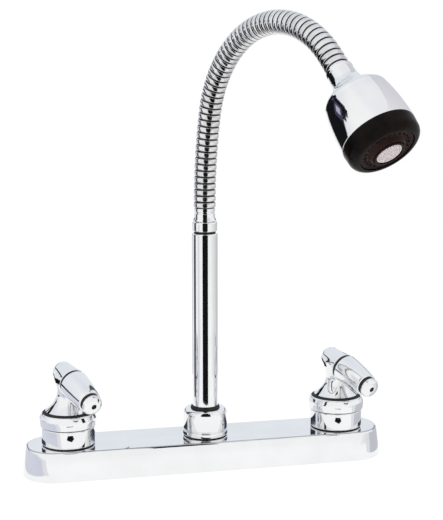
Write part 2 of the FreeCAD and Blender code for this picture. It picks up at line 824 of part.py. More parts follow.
def waterway():
    """The two crossover tubes and the centre body that they feed."""
    body = turned("center_body", [
        ("0", DECK),
        ("center_flange_radius", DECK),
        ("center_flange_radius", f"{DECK} + center_flange_height"),
        ("center_radius", f"{DECK} + center_flange_height"),
        ("center_radius", COLLAR_TOP),
        ("riser_radius + riser_fit", COLLAR_TOP),
        ("riser_radius + riser_fit", "center_floor"),
        ("0", "center_floor"),
    ])
    side_port(body, "center_ports", "crossover_radius + slip_gap", both=True)
    keep(body, "center_body")
    reach = "handle_spacing / 2 - cartridge_radius - riser_radius - riser_fit - 2 * crossover_seat"
    for name, side in (("hot", -1), ("cold", 1)):
        outer = cylinder(f"{name}_crossover_outside", "crossover_radius", reach)
        inner = cylinder(f"{name}_crossover_bore", "crossover_radius - crossover_wall", reach)
        tube = boolean("Cut", f"{name}_crossover", outer, inner)
        start = side * value("riser_radius + riser_fit + crossover_seat")
        base = FreeCAD.Vector(start, 0, value(PORT_HEIGHT))
        turn = FreeCAD.Rotation(FreeCAD.Vector(0, 0, 1), FreeCAD.Vector(side, 0, 0))
        keep(tube, f"{name}_crossover", FreeCAD.Placement(base, turn))


def spout_base():
    """The nut and the bushing that hold the riser tube, and the tube with its two rings."""
    groove_top = "plate_height + nut_foot_height + nut_groove_width"
    outer_bore = "riser_radius + riser_gap"
    nut = turned("spout_nut", [
        (NUT_BORE, "plate_height"),
        ("nut_foot_radius", "plate_height"),
        ("nut_foot_radius", "plate_height + nut_foot_height"),
        ("nut_radius - nut_groove_depth", "plate_height + nut_foot_height"),
        ("nut_radius - nut_groove_depth", groove_top),
        ("nut_radius", groove_top),
        ("nut_radius", NUT_TOP),
        (outer_bore, NUT_TOP),
        (outer_bore, LIP_BASE),
        (NUT_BORE, LIP_BASE),
    ])
    rounded(nut, nut.Tip, "nut_round", rim_at(value(NUT_TOP), value("nut_radius")))
    keep(nut, "spout_nut")
    bushing = ring("spout_bushing", outer_bore, f"{NUT_BORE} - thread_gap",
                   f"{BEAD_TOP} + riser_gap", LIP_BASE)
    keep(bushing, "spout_bushing")

    groove = "riser_radius - 2 * o_ring_section"
    bore = "riser_radius - riser_wall"
    tube = [(bore, RISER_FOOT), ("riser_radius", RISER_FOOT)]
    for low in (O_RING_LOW, O_RING_HIGH):
        high = f"{low} + 2 * o_ring_section + groove_spare"
        tube += [("riser_radius", low), (groove, low), (groove, high), ("riser_radius", high)]
    tube += [
        ("riser_radius", BEAD_BASE),
        ("bead_radius", BEAD_BASE),
        ("bead_radius", BEAD_TOP),
        ("riser_radius", BEAD_TOP),
    ]
    for step in range(DOME_STEPS + 1):
        angle = f"({90 * step / DOME_STEPS:.3f})"
        tube.append((
            f"riser_radius - riser_shoulder * (1 - cos({angle}))",
            f"riser_top - riser_shoulder * (1 - sin({angle}))",
        ))
    tube += [
        ("spigot_neck_radius", "riser_top"),
        ("spigot_neck_radius", SEAM_TOP),
        ("spigot_radius", SEAM_TOP),
        ("spigot_radius", COLLAR_END),
        ("spigot_bore", COLLAR_END),
        ("spigot_bore", "riser_top - spigot_step"),
        (bore, "riser_top - spigot_step - spigot_taper"),
    ]
    keep(turned("riser_tube", tube), "riser_tube", spout_turn())
    for name, low in (("lower", O_RING_LOW), ("upper", O_RING_HIGH)):
        seal = torus(f"riser_ring_{name}", "riser_radius - o_ring_section", "o_ring_section")
        height = value(f"{low} + o_ring_section + groove_spare / 2")
        keep(seal, f"riser_ring_{name}", moved(z=height))


def spout_turn():
    """The spout's own turn about Z, from +X forward to where the head points."""
    return moved(turn=value("spout_swing") - 90)


def hose_ends():
    """The collar and the ferrule between the riser tube and the hose."""
    bore = "spigot_radius + thread_gap"
    collar = turned("riser_collar", [
        (bore, SEAM_TOP),
        ("collar_radius - collar_chamfer", SEAM_TOP),
        ("collar_radius", f"{SEAM_TOP} + collar_chamfer"),
        ("collar_radius", f"{COLLAR_END} - collar_chamfer"),
        ("collar_radius - collar_chamfer", COLLAR_END),
        (bore, COLLAR_END),
    ])
    keep(collar, "riser_collar", spout_turn())
    waist = f"{COLLAR_END} + (ferrule_flare + ferrule_height - crimp_width) / 2"
    ferrule = turned("hose_ferrule", [
        ("spigot_bore", COLLAR_END),
        ("ferrule_foot_radius", COLLAR_END),
        ("ferrule_radius", f"{COLLAR_END} + ferrule_flare"),
        ("ferrule_radius", waist),
        ("ferrule_radius - crimp_depth", waist),
        ("ferrule_radius - crimp_depth", f"{waist} + crimp_width"),
        ("ferrule_radius", f"{waist} + crimp_width"),
        ("ferrule_radius", HOSE_START),
        ("spigot_bore", HOSE_START),
    ])
    keep(ferrule, "hose_ferrule", spout_turn())


def hose_route():
    """The hose's centre line in the spout's plane, as (length, start, heading, radius) spans.

    Points are (out, up) and headings are degrees down from straight up. Radius 0 is a straight.
    """
    spans = []
    point, heading = (0.0, value(HOSE_START)), 0.0
    last_turn = 90 + value("head_dip") - value("low_bend_turn") - value("top_bend_turn")
    plan = [
        (value("hose_foot"), 0.0, 0.0),
        (0.0, value("low_bend_radius"), value("low_bend_turn")),
        (0.0, value("top_bend_radius"), value("top_bend_turn")),
        (0.0, value("end_bend_radius"), last_turn),
        (value("hose_tail"), 0.0, 0.0),
    ]
    for straight, radius, turn in plan:
        length = straight if radius == 0 else radius * math.radians(turn)
        span = (length, point, heading, radius)
        spans.append(span)
        point, heading = along_span(span, length)
    return spans, point, heading


def along_span(span, distance):
    """The point and the heading at a distance along one span of the hose's route."""
    _, (out, up), heading, radius = span
    a = math.radians(heading)
    if radius == 0:
        return (out + distance * math.sin(a), up + distance * math.cos(a)), heading
    b = a + distance / radius
    point = (out + radius * (math.cos(a) - math.cos(b)), up + radius * (math.sin(b) - math.sin(a)))
    return point, math.degrees(b)


def route_at(spans, distance):
    """The point and the heading at a distance along the whole route."""
    for span in spans[:-1]:
        if distance <= span[0]:
            return along_span(span, distance)
        distance -= span[0]
    return along_span(spans[-1], distance)


def route_circle(spans, distance, radius):
    """A circle square to the route, its own X axis steady and level across the spout's plane."""
    (out, up), heading = route_at(spans, distance)
    a = math.radians(heading)
    steady = FreeCAD.Vector(0, 1, 0)
    forward = FreeCAD.Vector(math.sin(a), 0, math.cos(a))
    place = FreeCAD.Placement(
        FreeCAD.Vector(out, 0, up), FreeCAD.Rotation(steady, FreeCAD.Vector(), forward, "ZXY")
    )
    circle = Part.makeCircle(radius)
    circle.Placement = place
    return Part.Wire([circle])


def route_pipe(spans, radius, start=0.0, spare=0.0):
    """A round bar along the route, which can start early and end short of the route's end."""
    edges = []
    for number, (length, (out, up), heading, bend) in enumerate(spans):
        first, last = 0.0, length
        if number == 0:
            first = start
        if number == len(spans) - 1:
            last = length - spare
        span = (length, (out, up), heading, bend)
        ends = [along_span(span, d)[0] for d in (first, (first + last) / 2, last)]
        a, m, b = (FreeCAD.Vector(x, 0, z) for x, z in ends)
        edges.append(Part.LineSegment(a, b).toShape() if bend == 0 else Part.Arc(a, m, b).toShape())
    profile = Part.Wire([Part.makeCircle(radius, FreeCAD.Vector(0, 0, edges[0].Vertexes[0].Z))])
    return Part.Wire(edges).makePipeShell([profile], True, False)


def feature(name, shape, place):
    """A piece whose shape is set directly."""
    item = doc.addObject("Part::Feature", name)
    item.Shape = shape
    keep(item, name, place)


def hose():
    """The ribbed hose in one piece with its bore, and the water tube inside it."""
    spans, _, _ = hose_route()
    total = sum(span[0] for span in spans)
    ribs = max(1, round(total / value("rib_pitch")))
    pitch = total / ribs
    circles = [
        route_circle(spans, (rib + share) * pitch, value(radius))
        for rib in range(ribs)
        for share, radius in RIB_SECTION
    ]
    circles.append(route_circle(spans, total, value("hose_root_radius")))
    outside = Part.makeLoft(circles, True, True)
    bore = route_pipe(spans, value("hose_bore"))
    wall = outside.cut(bore)
    area = math.pi * value("hose_bore") ** 2
    print(f"hose length {total:.2f}, ribs {ribs}, pitch {pitch:.3f}")
    print(f"bore volume {bore.Volume:.1f}, section times length {area * total:.1f}")
    feature("flex_hose", wall.Solids[0], spout_turn())
    tuck = value("nipple_tail + tube_end_gap")
    early = value("tube_seat - ferrule_height")
    outer = route_pipe(spans, value("tube_radius"), early, tuck)
    inner = route_pipe(spans, value("tube_bore"), early, tuck)
    tube = outer.cut(inner)
    section = math.pi * (value("tube_radius") ** 2 - value("tube_bore") ** 2)
    print(f"tube volume {tube.Volume:.1f}, section times length {section * (total - early - tuck):.1f}")
    feature("water_tube", tube.Solids[0], spout_turn())


def head_frame():
    """The head's place: Z runs along the head from the end of the hose to the spray face."""
    _, (out, up), heading = hose_route()
    a = math.radians(heading)
    along = FreeCAD.Vector(math.sin(a), 0, math.cos(a))
    base = FreeCAD.Vector(out, 0, up)
    turn = FreeCAD.Rotation(FreeCAD.Vector(0, 1, 0), FreeCAD.Vector(), along, "ZXY")
    return spout_turn() * FreeCAD.Placement(base, turn)


def neck_swivel(place):
    """The nipple that the hose ends on and that the head turns on, and its rubber ring."""
    seal_groove = "nipple_radius - 2 * ring_section"
    clip_groove = "nipple_radius - clip_depth"
    ring_at = "swivel_ring_place"
    ring_end = f"{ring_at} + 2 * ring_section + groove_spare"
    tail = "nipple_radius - swivel_gap"
    nipple = turned("neck_nipple", [
        ("tube_bore", "-nipple_tail"),
        (f"{tail} - nipple_tail_chamfer", "-nipple_tail"),
        (tail, "-nipple_tail + 3 * nipple_tail_chamfer"),
        (tail, "0"),
        ("neck_flange_radius", "0"),
        ("neck_flange_radius", FLANGE_END),
        ("nipple_radius", FLANGE_END),
        ("nipple_radius", ring_at),
        (seal_groove, ring_at),
        (seal_groove, ring_end),
        ("nipple_radius", ring_end),
        ("nipple_radius", "clip_place - swivel_gap"),
        (clip_groove, "clip_place - swivel_gap"),
        (clip_groove, "clip_place + clip_width + swivel_gap"),
        ("nipple_radius", "clip_place + clip_width + swivel_gap"),
        ("nipple_radius", "nipple_reach"),
        ("tube_bore", "nipple_reach"),
    ])
    keep(nipple, "neck_nipple", place)
    seal = torus("neck_ring", f"{seal_groove} + ring_section + ring_stand", "ring_section")
    keep(seal, "neck_ring", place * moved(z=value(f"{ring_at} + ring_section + groove_spare / 2")))
    clip = ring("neck_clip", f"{clip_groove} + swivel_gap", "clip_radius",
                "clip_place", "clip_place + clip_width")
    keep(clip, "neck_clip", place)


def dome_profile(inset):
    """The dome's outline from the bell to the body, set in and forward by a wall or by nothing."""
    points = []
    for step in range(DOME_STEPS + 1):
        share = f"({step} / {DOME_STEPS})"
        swell = f"pow(sin(90 * {share}); dome_power)" if step else "0"
        points.append((
            f"bell_end_radius + (dome_radius - bell_end_radius) * {swell} - {inset}",
            f"{BELL_END} + dome_length * {share} + {inset} / 2",
        ))
    return points


def spray_head(place):
    """The head's chrome shell and the core inside it."""
    socket = "nipple_radius + swivel_gap"
    clip_room = "clip_radius + thread_gap"
    lip_end = f"{BELL_START} + bell_lip_height"
    flank = f"{DOME_END} + body_length * 0.3"
    shell = turned("head_shell", [
        (socket, BELL_START),
        ("bell_radius - bell_lip", BELL_START),
        ("bell_radius + bell_lip", f"{BELL_START} + 2 * bell_lip"),
        ("bell_radius + bell_lip", lip_end),
        ("bell_radius", f"{lip_end} + 2 * bell_lip"),
        ("(bell_radius + bell_end_radius) / 2", f"{BELL_START} + bell_length * 0.7"),
        *dome_profile("0"),
        ("body_radius", flank),
        ("body_end_radius", BODY_END),
        ("body_end_radius - head_wall", BODY_END),
        ("body_radius - head_wall", flank),
        *reversed(dome_profile("head_wall")),
        ("bell_end_radius - head_wall", SOCKET_END),
        (socket, SOCKET_END),
        (socket, "clip_place + clip_width + swivel_gap"),
        (clip_room, "clip_place + clip_width + swivel_gap"),
        (clip_room, "clip_place - swivel_gap"),
        (socket, "clip_place - swivel_gap"),
    ])
    keep(shell, "head_shell", place)
    boss = "bell_end_radius - head_wall - core_play"
    core = turned("head_core", [
        ("waterway_radius", f"{SOCKET_END} + core_gap"),
        (boss, f"{SOCKET_END} + core_gap"),
        (boss, CORE_START),
        ("core_plug_radius - core_chamfer", CORE_START),
        ("core_plug_radius", f"{CORE_START} + core_chamfer"),
        ("core_plug_radius", CORE_END),
        ("spigot_shaft_radius", CORE_END),
        ("spigot_shaft_radius", SHAFT_END),
        ("waterway_radius", SHAFT_END),
    ])
    keep(core, "head_core", place)


def selector(place):
    """The black selector ring with its face plate, spray nozzles and aerator."""
    body = turned("selector_ring", [
        ("selector_bore", RING_START),
        ("selector_radius - selector_edge", RING_START),
        ("selector_radius", f"{RING_START} + selector_edge"),
        ("selector_front_radius", RING_END),
        ("selector_bore", RING_END),
    ])
    front = rim_at(value(RING_END), value("selector_front_radius"))
    rounded(body, body.Tip, "selector_round", front)
    keep(body, "selector_ring", place)

    bore = "spigot_shaft_radius + selector_play"
    aerator_bore = "aerator_radius + thread_gap"
    boss_top = f"{FACE_FRONT} + face_boss_rise"
    plate = turned("face_plate", [
        (bore, RING_START),
        ("face_hub_radius", RING_START),
        ("face_hub_radius", FACE_BACK),
        ("selector_bore - thread_gap", FACE_BACK),
        ("selector_bore - thread_gap", FACE_FRONT),
        ("face_boss_radius", FACE_FRONT),
        (f"{aerator_bore} + face_boss_land", boss_top),
        (aerator_bore, boss_top),
        (aerator_bore, AERATOR_START),
        (bore, AERATOR_START),
    ])
    hole = new_sketch(plate, "nozzle_hole", "XY_Plane", FACE_FRONT)
    add_circle(hole, "nozzle_radius + slip_gap", "nozzle_pitch_radius")
    around(plate, pocketed(plate, hole, "face_thickness"), "nozzle_count")
    keep(plate, "face_plate", place)

    low = f"{FACE_BACK} - nozzle_pad_thickness"
    pad = ring("nozzle_pad", "nozzle_pitch_radius - nozzle_band",
               "nozzle_pitch_radius + nozzle_band", low, FACE_BACK)
    tip = new_sketch(pad, "nozzle_tip", "XY_Plane", low)
    add_circle(tip, "nozzle_radius", "nozzle_pitch_radius")
    tip_length = "nozzle_pad_thickness + face_thickness + nozzle_stand"
    around(pad, padded(pad, tip, tip_length), "nozzle_count")
    keep(pad, "nozzle_pad", place)

    aerator_front = f"{FACE_FRONT} + aerator_stand"
    screen_top = f"{aerator_front} - screen_depth"
    shell_bore = "aerator_radius - aerator_wall"
    housing = turned("aerator", [
        (f"{shell_bore} - aerator_ledge", AERATOR_START),
        ("aerator_radius", AERATOR_START),
        ("aerator_radius", aerator_front),
        (shell_bore, aerator_front),
        (shell_bore, f"{screen_top} - screen_thickness"),
        (f"{shell_bore} - aerator_ledge", f"{screen_top} - screen_thickness"),
    ])
    keep(housing, "aerator", place)
    screen = new_body("aerator_screen")
    outline = new_sketch(screen, "screen_outline", "XY_Plane", f"{screen_top} - screen_thickness")
    add_circle(outline, f"{shell_bore} - slip_gap")
    padded(screen, outline, "screen_thickness")
    for number, (share, count) in enumerate(SCREEN_RINGS):
        opening = new_sketch(screen, f"screen_hole_{number}", "XY_Plane", screen_top)
        add_circle(opening, "screen_hole_radius", f"({shell_bore}) * {share}")
        around(screen, pocketed(screen, opening, "screen_thickness * 2"), str(count))
    keep(screen, "aerator_screen", place)


def build():
    """Builds every piece, the hot and cold sides from the same functions."""
    deck_plate()
    deck_gasket()
    waterway()
    for name, side, turn in (("hot", -1, 0), ("cold", 1, 180)):
        x = side * value("handle_spacing / 2")
        valve_body(name, moved(x=x, turn=turn))
        clamp(name, moved(x=x))
        cartridge(name, moved(x=x, turn=turn))
        skirt(name, moved(x=x))
        handle(name, moved(x=x))
    spout_base()
    hose_ends()
    hose()
    place = head_frame()
    neck_swivel(place)
    spray_head(place)
    selector(place)


def write():
    """Checks every object and writes each piece's solid."""
    doc.recompute()
    for item in doc.Objects:
        bad = [s for s in item.State if s in ("Invalid", "Error")]
        assert not bad, f"{item.Name} is {bad}"
    for item in kept:
        shape = item.Shape
        assert not shape.isNull() and shape.isValid(), f"{item.Label} has no valid shape"
    os.makedirs("parts", exist_ok=True)
    for item in kept:
        item.Shape.exportStep(f"parts/{item.Label}.step")
    print(f"{len(kept)} pieces written")


build()
write()
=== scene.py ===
"""Looks of a two handle kitchen faucet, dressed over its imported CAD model.

Sizes are in millimetres in the CAD's own frame: the origin is on the spout's axis at the
underside of the deck plate, +Z is up, -Y is towards the user and +X is the cold side.
"""

import json
import logging
import math
from dataclasses import dataclass, field
from enum import Enum
from typing import Iterable, Sequence

import bmesh
import bpy
from mathutils import Matrix, Vector


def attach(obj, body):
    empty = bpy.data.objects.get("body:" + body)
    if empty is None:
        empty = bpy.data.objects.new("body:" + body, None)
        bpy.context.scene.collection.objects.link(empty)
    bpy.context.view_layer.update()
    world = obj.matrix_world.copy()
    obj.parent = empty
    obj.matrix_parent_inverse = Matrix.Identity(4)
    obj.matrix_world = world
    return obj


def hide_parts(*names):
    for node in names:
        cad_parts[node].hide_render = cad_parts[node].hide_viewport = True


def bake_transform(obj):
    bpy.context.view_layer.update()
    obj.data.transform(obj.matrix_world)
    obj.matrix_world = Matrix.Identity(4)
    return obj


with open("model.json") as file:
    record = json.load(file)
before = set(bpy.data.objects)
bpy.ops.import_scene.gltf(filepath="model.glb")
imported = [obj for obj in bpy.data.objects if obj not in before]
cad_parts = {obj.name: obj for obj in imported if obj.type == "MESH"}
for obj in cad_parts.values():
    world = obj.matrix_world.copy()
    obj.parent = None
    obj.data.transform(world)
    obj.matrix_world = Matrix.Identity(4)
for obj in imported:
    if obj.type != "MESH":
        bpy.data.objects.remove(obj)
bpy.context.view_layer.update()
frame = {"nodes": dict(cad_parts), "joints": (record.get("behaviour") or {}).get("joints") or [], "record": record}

MM = 0.001
LOG = logging.getLogger("faucet")

Corner = tuple[float, float, float]
Point2 = tuple[float, float]
Shade = tuple[float, float, float]


class Side(Enum):
    """The two handles, by the water that they turn on."""

    HOT = -1
    COLD = 1

    @property
    def word(self) -> str:
        """The side's name as the nodes and bodies spell it."""
        return self.name.lower()


class Body(Enum):
    """The moving bodies of the CAD model."""

    DECK = "deck"
    HOT_HANDLE = "hot_handle"
    COLD_HANDLE = "cold_handle"
    SPOUT = "spout"
    NECK = "neck"
    HEAD = "head"
    SELECTOR = "selector"


# ---------------------------------------------------------------------------------------------
# Finishes
# ---------------------------------------------------------------------------------------------


class NodeBoard:
    """A material's node tree, with short calls for the nodes that the finishes use."""

    def __init__(self, name: str) -> None:
        """Starts an empty material.

        Args:
            name: the material's name.
        """
        self.material = bpy.data.materials.new(name)
        self.material.use_nodes = True
        self.tree = self.material.node_tree
        self.tree.nodes.clear()

    def add(self, kind: str, **settings: object) -> bpy.types.Node:
        """Adds a node.

        Args:
            kind: Blender's node type.
            **settings: properties of the node.

        Returns:
            The new node.
        """
        node = self.tree.nodes.new(kind)
        for key, value in settings.items():
            setattr(node, key, value)
        return node

    def join(self, source: bpy.types.NodeSocket, target: bpy.types.NodeSocket) -> None:
        """Links one socket to another."""
        self.tree.links.new(source, target)

    def noise(self, scale: float, detail: float = 3.0, stretch: Shade = (1, 1, 1)) -> bpy.types.NodeSocket:
        """A noise field in the object's own coordinates.

        Args:
            scale: noise cells per metre.
            detail: octaves.
            stretch: scale along each axis.

        Returns:
            The noise value's socket.
        """
        place = self.add("ShaderNodeTexCoord")
        mapping = self.add("ShaderNodeMapping")
        mapping.inputs["Scale"].default_value = stretch
        self.join(place.outputs["Object"], mapping.inputs["Vector"])
        noise = self.add("ShaderNodeTexNoise")
        noise.inputs["Scale"].default_value = scale
        noise.inputs["Detail"].default_value = detail
        self.join(mapping.outputs["Vector"], noise.inputs["Vector"])
        return noise.outputs["Fac"]

    def grooves(self, count: float) -> bpy.types.NodeSocket:
        """Even grooves round a turned piece, read from its UV map.

        Args:
            count: grooves in one turn.

        Returns:
            The wave's socket.
        """
        place = self.add("ShaderNodeTexCoord")
        wave = self.add("ShaderNodeTexWave", wave_type="BANDS", bands_direction="X")
        wave.inputs["Scale"].default_value = count / 3.1831
        wave.inputs["Distortion"].default_value = 0.0
        self.join(place.outputs["UV"], wave.inputs["Vector"])
        return wave.outputs["Fac"]

    def ramp(self, source: bpy.types.NodeSocket, low: Shade, high: Shade, start: float = 0.35,
             end: float = 0.65) -> bpy.types.NodeSocket:
        """A colour that runs between two shades as a field rises.

        Args:
            source: the field.
            low: linear colour below start.
            high: linear colour above end.
            start: field value where the change begins.
            end: field value where it ends.

        Returns:
            The colour's socket.
        """
        ramp = self.add("ShaderNodeValToRGB")
        first, last = ramp.color_ramp.elements
        first.position, first.color = start, (*low, 1)
        last.position, last.color = end, (*high, 1)
        self.join(source, ramp.inputs["Fac"])
        return ramp.outputs["Color"]

    def span(self, source: bpy.types.NodeSocket, low: float, high: float) -> bpy.types.NodeSocket:
        """Maps a field from 0.3..0.7 to low..high.

        Args:
            source: the field.
            low: value at the bottom.
            high: value at the top.

        Returns:
            The mapped value's socket.
        """
        scale = self.add("ShaderNodeMapRange")
        scale.inputs["From Min"].default_value = 0.3
        scale.inputs["From Max"].default_value = 0.7
        scale.inputs["To Min"].default_value = low
        scale.inputs["To Max"].default_value = high
        self.join(source, scale.inputs["Value"])
        return scale.outputs["Result"]

    def bump(self, height: bpy.types.NodeSocket, depth_mm: float,
             strength: float = 1.0) -> bpy.types.NodeSocket:
        """A bump of a real depth.

        Args:
            height: the field that is the height.
            depth_mm: depth in millimetres.
            strength: share of the bump that shows.

        Returns:
            The normal's socket.
        """
        bump = self.add("ShaderNodeBump")
        bump.inputs["Strength"].default_value = strength
        bump.inputs["Distance"].default_value = depth_mm * MM
        self.join(height, bump.inputs["Height"])
        return bump.outputs["Normal"]

    def shader(self, **constants: float) -> bpy.types.Node:
        """The principled shader, joined to the output.

        Args:
            **constants: values for the shader's own sockets, spaces written as underscores.

        Returns:
            The shader node.
        """
        shader = self.add("ShaderNodeBsdfPrincipled")
        for key, value in constants.items():
            shader.inputs[key.replace("_", " ")].default_value = value
        output = self.add("ShaderNodeOutputMaterial")
        self.join(shader.outputs["BSDF"], output.inputs["Surface"])
        return shader


@dataclass(frozen=True)
class Finish:
    """One finish of the faucet: how a surface is coloured, polished and grained."""

    name: str
    slot: str
    low: Shade
    high: Shade
    metallic: float = 0.0
    polish: Point2 = (0.3, 0.4)
    cell: float = 60.0
    grain: float = 400.0
    grain_depth: float = 0.01
    stretch: Shade = (1.0, 1.0, 1.0)
    gloss: float = 0.5
    coat: float = 0.0
    groove_count: float = 0.0
    groove_depth: float = 0.0

    def material(self) -> bpy.types.Material:
        """The finish's material, made once.

        Returns:
            The Blender material.
        """
        made = bpy.data.materials.get(self.name)
        if made:
            return made
        board = NodeBoard(self.name)
        shader = board.shader(Metallic=self.metallic, Specular_IOR_Level=self.gloss, Coat_Weight=self.coat)
        cloud = board.noise(self.cell, 4.0, self.stretch)
        board.join(board.ramp(cloud, self.low, self.high), shader.inputs["Base Color"])
        board.join(board.span(board.noise(self.cell * 2.3, 5.0, self.stretch), *self.polish),
                   shader.inputs["Roughness"])
        height = board.noise(self.grain, 2.0, self.stretch)
        if self.groove_count:
            waves = board.grooves(self.groove_count)
            first = board.add("ShaderNodeBump")
            first.inputs["Distance"].default_value = self.groove_depth * MM
            board.join(waves, first.inputs["Height"])
            second = board.add("ShaderNodeBump")
            second.inputs["Distance"].default_value = self.grain_depth * MM
            board.join(height, second.inputs["Height"])
            board.join(first.outputs["Normal"], second.inputs["Normal"])
            board.join(second.outputs["Normal"], shader.inputs["Normal"])
        else:
            board.join(board.bump(height, self.grain_depth), shader.inputs["Normal"])
        return board.material


CHROME = Finish("polished_chrome", "chrome", (0.84, 0.845, 0.85), (0.88, 0.885, 0.89), 1.0, (0.05, 0.09),
                45, 220, 0.0012)
HOSE_CHROME = Finish("hose_chrome", "chrome", (0.66, 0.66, 0.665), (0.80, 0.80, 0.805), 1.0, (0.10, 0.2),
                     160, 900, 0.004)
# Near-black chrome for the floors of the hose's grooves: painted shade between the ribs.
HOSE_GROOVE_PAINTED_SHADE = Finish("hose_groove_painted_shade", "chrome", (0.05, 0.048, 0.047), (0.12, 0.115, 0.11), 1.0,
                     (0.35, 0.5),
                     300, 900, 0.01)
# Darker chrome for the plate's upper edge rounding: a painted dark reflection line.
EDGE_PAINTED_REFLECTION = Finish("plate_edge_painted_reflection", "chrome", (0.40, 0.41, 0.43), (0.55, 0.56, 0.58), 1.0, (0.2, 0.3),
                     60, 500, 0.003)
# Near-black painted shade for thin rings in seams, gaps and recesses between parts, though it is filed under the
# rubber slot.
SEAM_SHADE = Finish("seam_shadow", "rubber", (0.008, 0.008, 0.009), (0.016, 0.015, 0.017), 0.0, (0.45, 0.6),
                    300, 1200, 0.02, gloss=0.2)
BLACK_PLASTIC = Finish("black_grip_plastic", "black_plastic", (0.002, 0.0016, 0.0018),
                       (0.007, 0.0045, 0.0035), 0.0,
                       (0.14, 0.22), 90, 700, 0.006, gloss=0.05, groove_count=96, groove_depth=0.05)
BLACK_FACE = Finish("black_face_plastic", "black_plastic", (0.010, 0.0045, 0.004), (0.020, 0.010, 0.008),
                    0.0,
                    (0.2, 0.3), 120, 800, 0.008, gloss=0.05)
LIGHT_SCREEN = Finish("pale_screen_plastic", "grey_plastic", (0.42, 0.375, 0.375), (0.56, 0.50, 0.50), 0.0,
                      (0.35, 0.5), 500, 1500, 0.02)
GREY_PLASTIC = Finish("grey_plastic", "grey_plastic", (0.16, 0.15, 0.155), (0.22, 0.21, 0.21), 0.0,
                      (0.35, 0.5),
                      200, 900, 0.015)
BRASS = Finish("turned_brass", "brass", (0.56, 0.40, 0.16), (0.70, 0.53, 0.25), 1.0, (0.22, 0.36), 70, 500,
               0.01, (1, 1, 6))
CERAMIC = Finish("lapped_ceramic", "ceramic", (0.78, 0.77, 0.73), (0.86, 0.85, 0.81), 0.0, (0.18, 0.3), 120,
                 900,
                 0.004)
RUBBER = Finish("seal_rubber", "rubber", (0.018, 0.018, 0.019), (0.035, 0.034, 0.034), 0.0, (0.6, 0.8), 150,
                900,
                0.03, gloss=0.3)
WHITE_PLASTIC = Finish("white_moulding", "white_plastic", (0.70, 0.70, 0.67), (0.80, 0.80, 0.77), 0.0,
                       (0.35, 0.5), 80, 700, 0.015)
STEEL = Finish("brushed_steel", "steel", (0.48, 0.48, 0.49), (0.62, 0.62, 0.63), 1.0, (0.25, 0.4), 60, 300,
               0.01,
               (1, 14, 1))

SLOT_FINISH = {
    "chrome": CHROME,
    "brass": BRASS,
    "ceramic": CERAMIC,
    "rubber": RUBBER,
    "black_plastic": BLACK_PLASTIC,
    "grey_plastic": GREY_PLASTIC,
    "white_plastic": WHITE_PLASTIC,
    "steel": STEEL,
}


# ---------------------------------------------------------------------------------------------
# Mesh making
# ---------------------------------------------------------------------------------------------


def eased(corners: Sequence[Corner], closed: bool = True, step: float = 9.0) -> list[Point2]:
    """Rounds the corners of an outline.

    Args:
        corners: (radius, station, rounding) in order.
        closed: whether the last corner joins the first.
        step: degrees of turn between points of a rounding.

    Returns:
        The outline's points.
    """
    points: list[Point2] = []
    count = len(corners)
    for index, (radius, station, rounding) in enumerate(corners):
        if rounding <= 0 or (not closed and index in (0, count - 1)):
            points.append((radius, station))
            continue
        here = Vector((radius, station))
        back = Vector(corners[index - 1][:2]) - here
        ahead = Vector(corners[(index + 1) % count][:2]) - here
        half = back.angle(ahead) / 2
        reach = min(rounding / math.tan(half), back.length * 0.49, ahead.length * 0.49)
        real = reach * math.tan(half)
        if half > math.radians(88.5) or real < 1e-4:
            points.append((radius, station))
            continue
        centre = here + (back.normalized() + ahead.normalized()).normalized() * (real / math.sin(half))
        first = here + back.normalized() * reach - centre
        last = here + ahead.normalized() * reach - centre
        begin = math.atan2(first.y, first.x)
        sweep = math.remainder(math.atan2(last.y, last.x) - begin, 2 * math.pi)
        turns = max(2, math.ceil(abs(math.degrees(sweep)) / step))
        for turn in range(turns + 1):
            angle = begin + sweep * turn / turns
            points.append((centre.x + real * math.cos(angle), centre.y + real * math.sin(angle)))
    return points


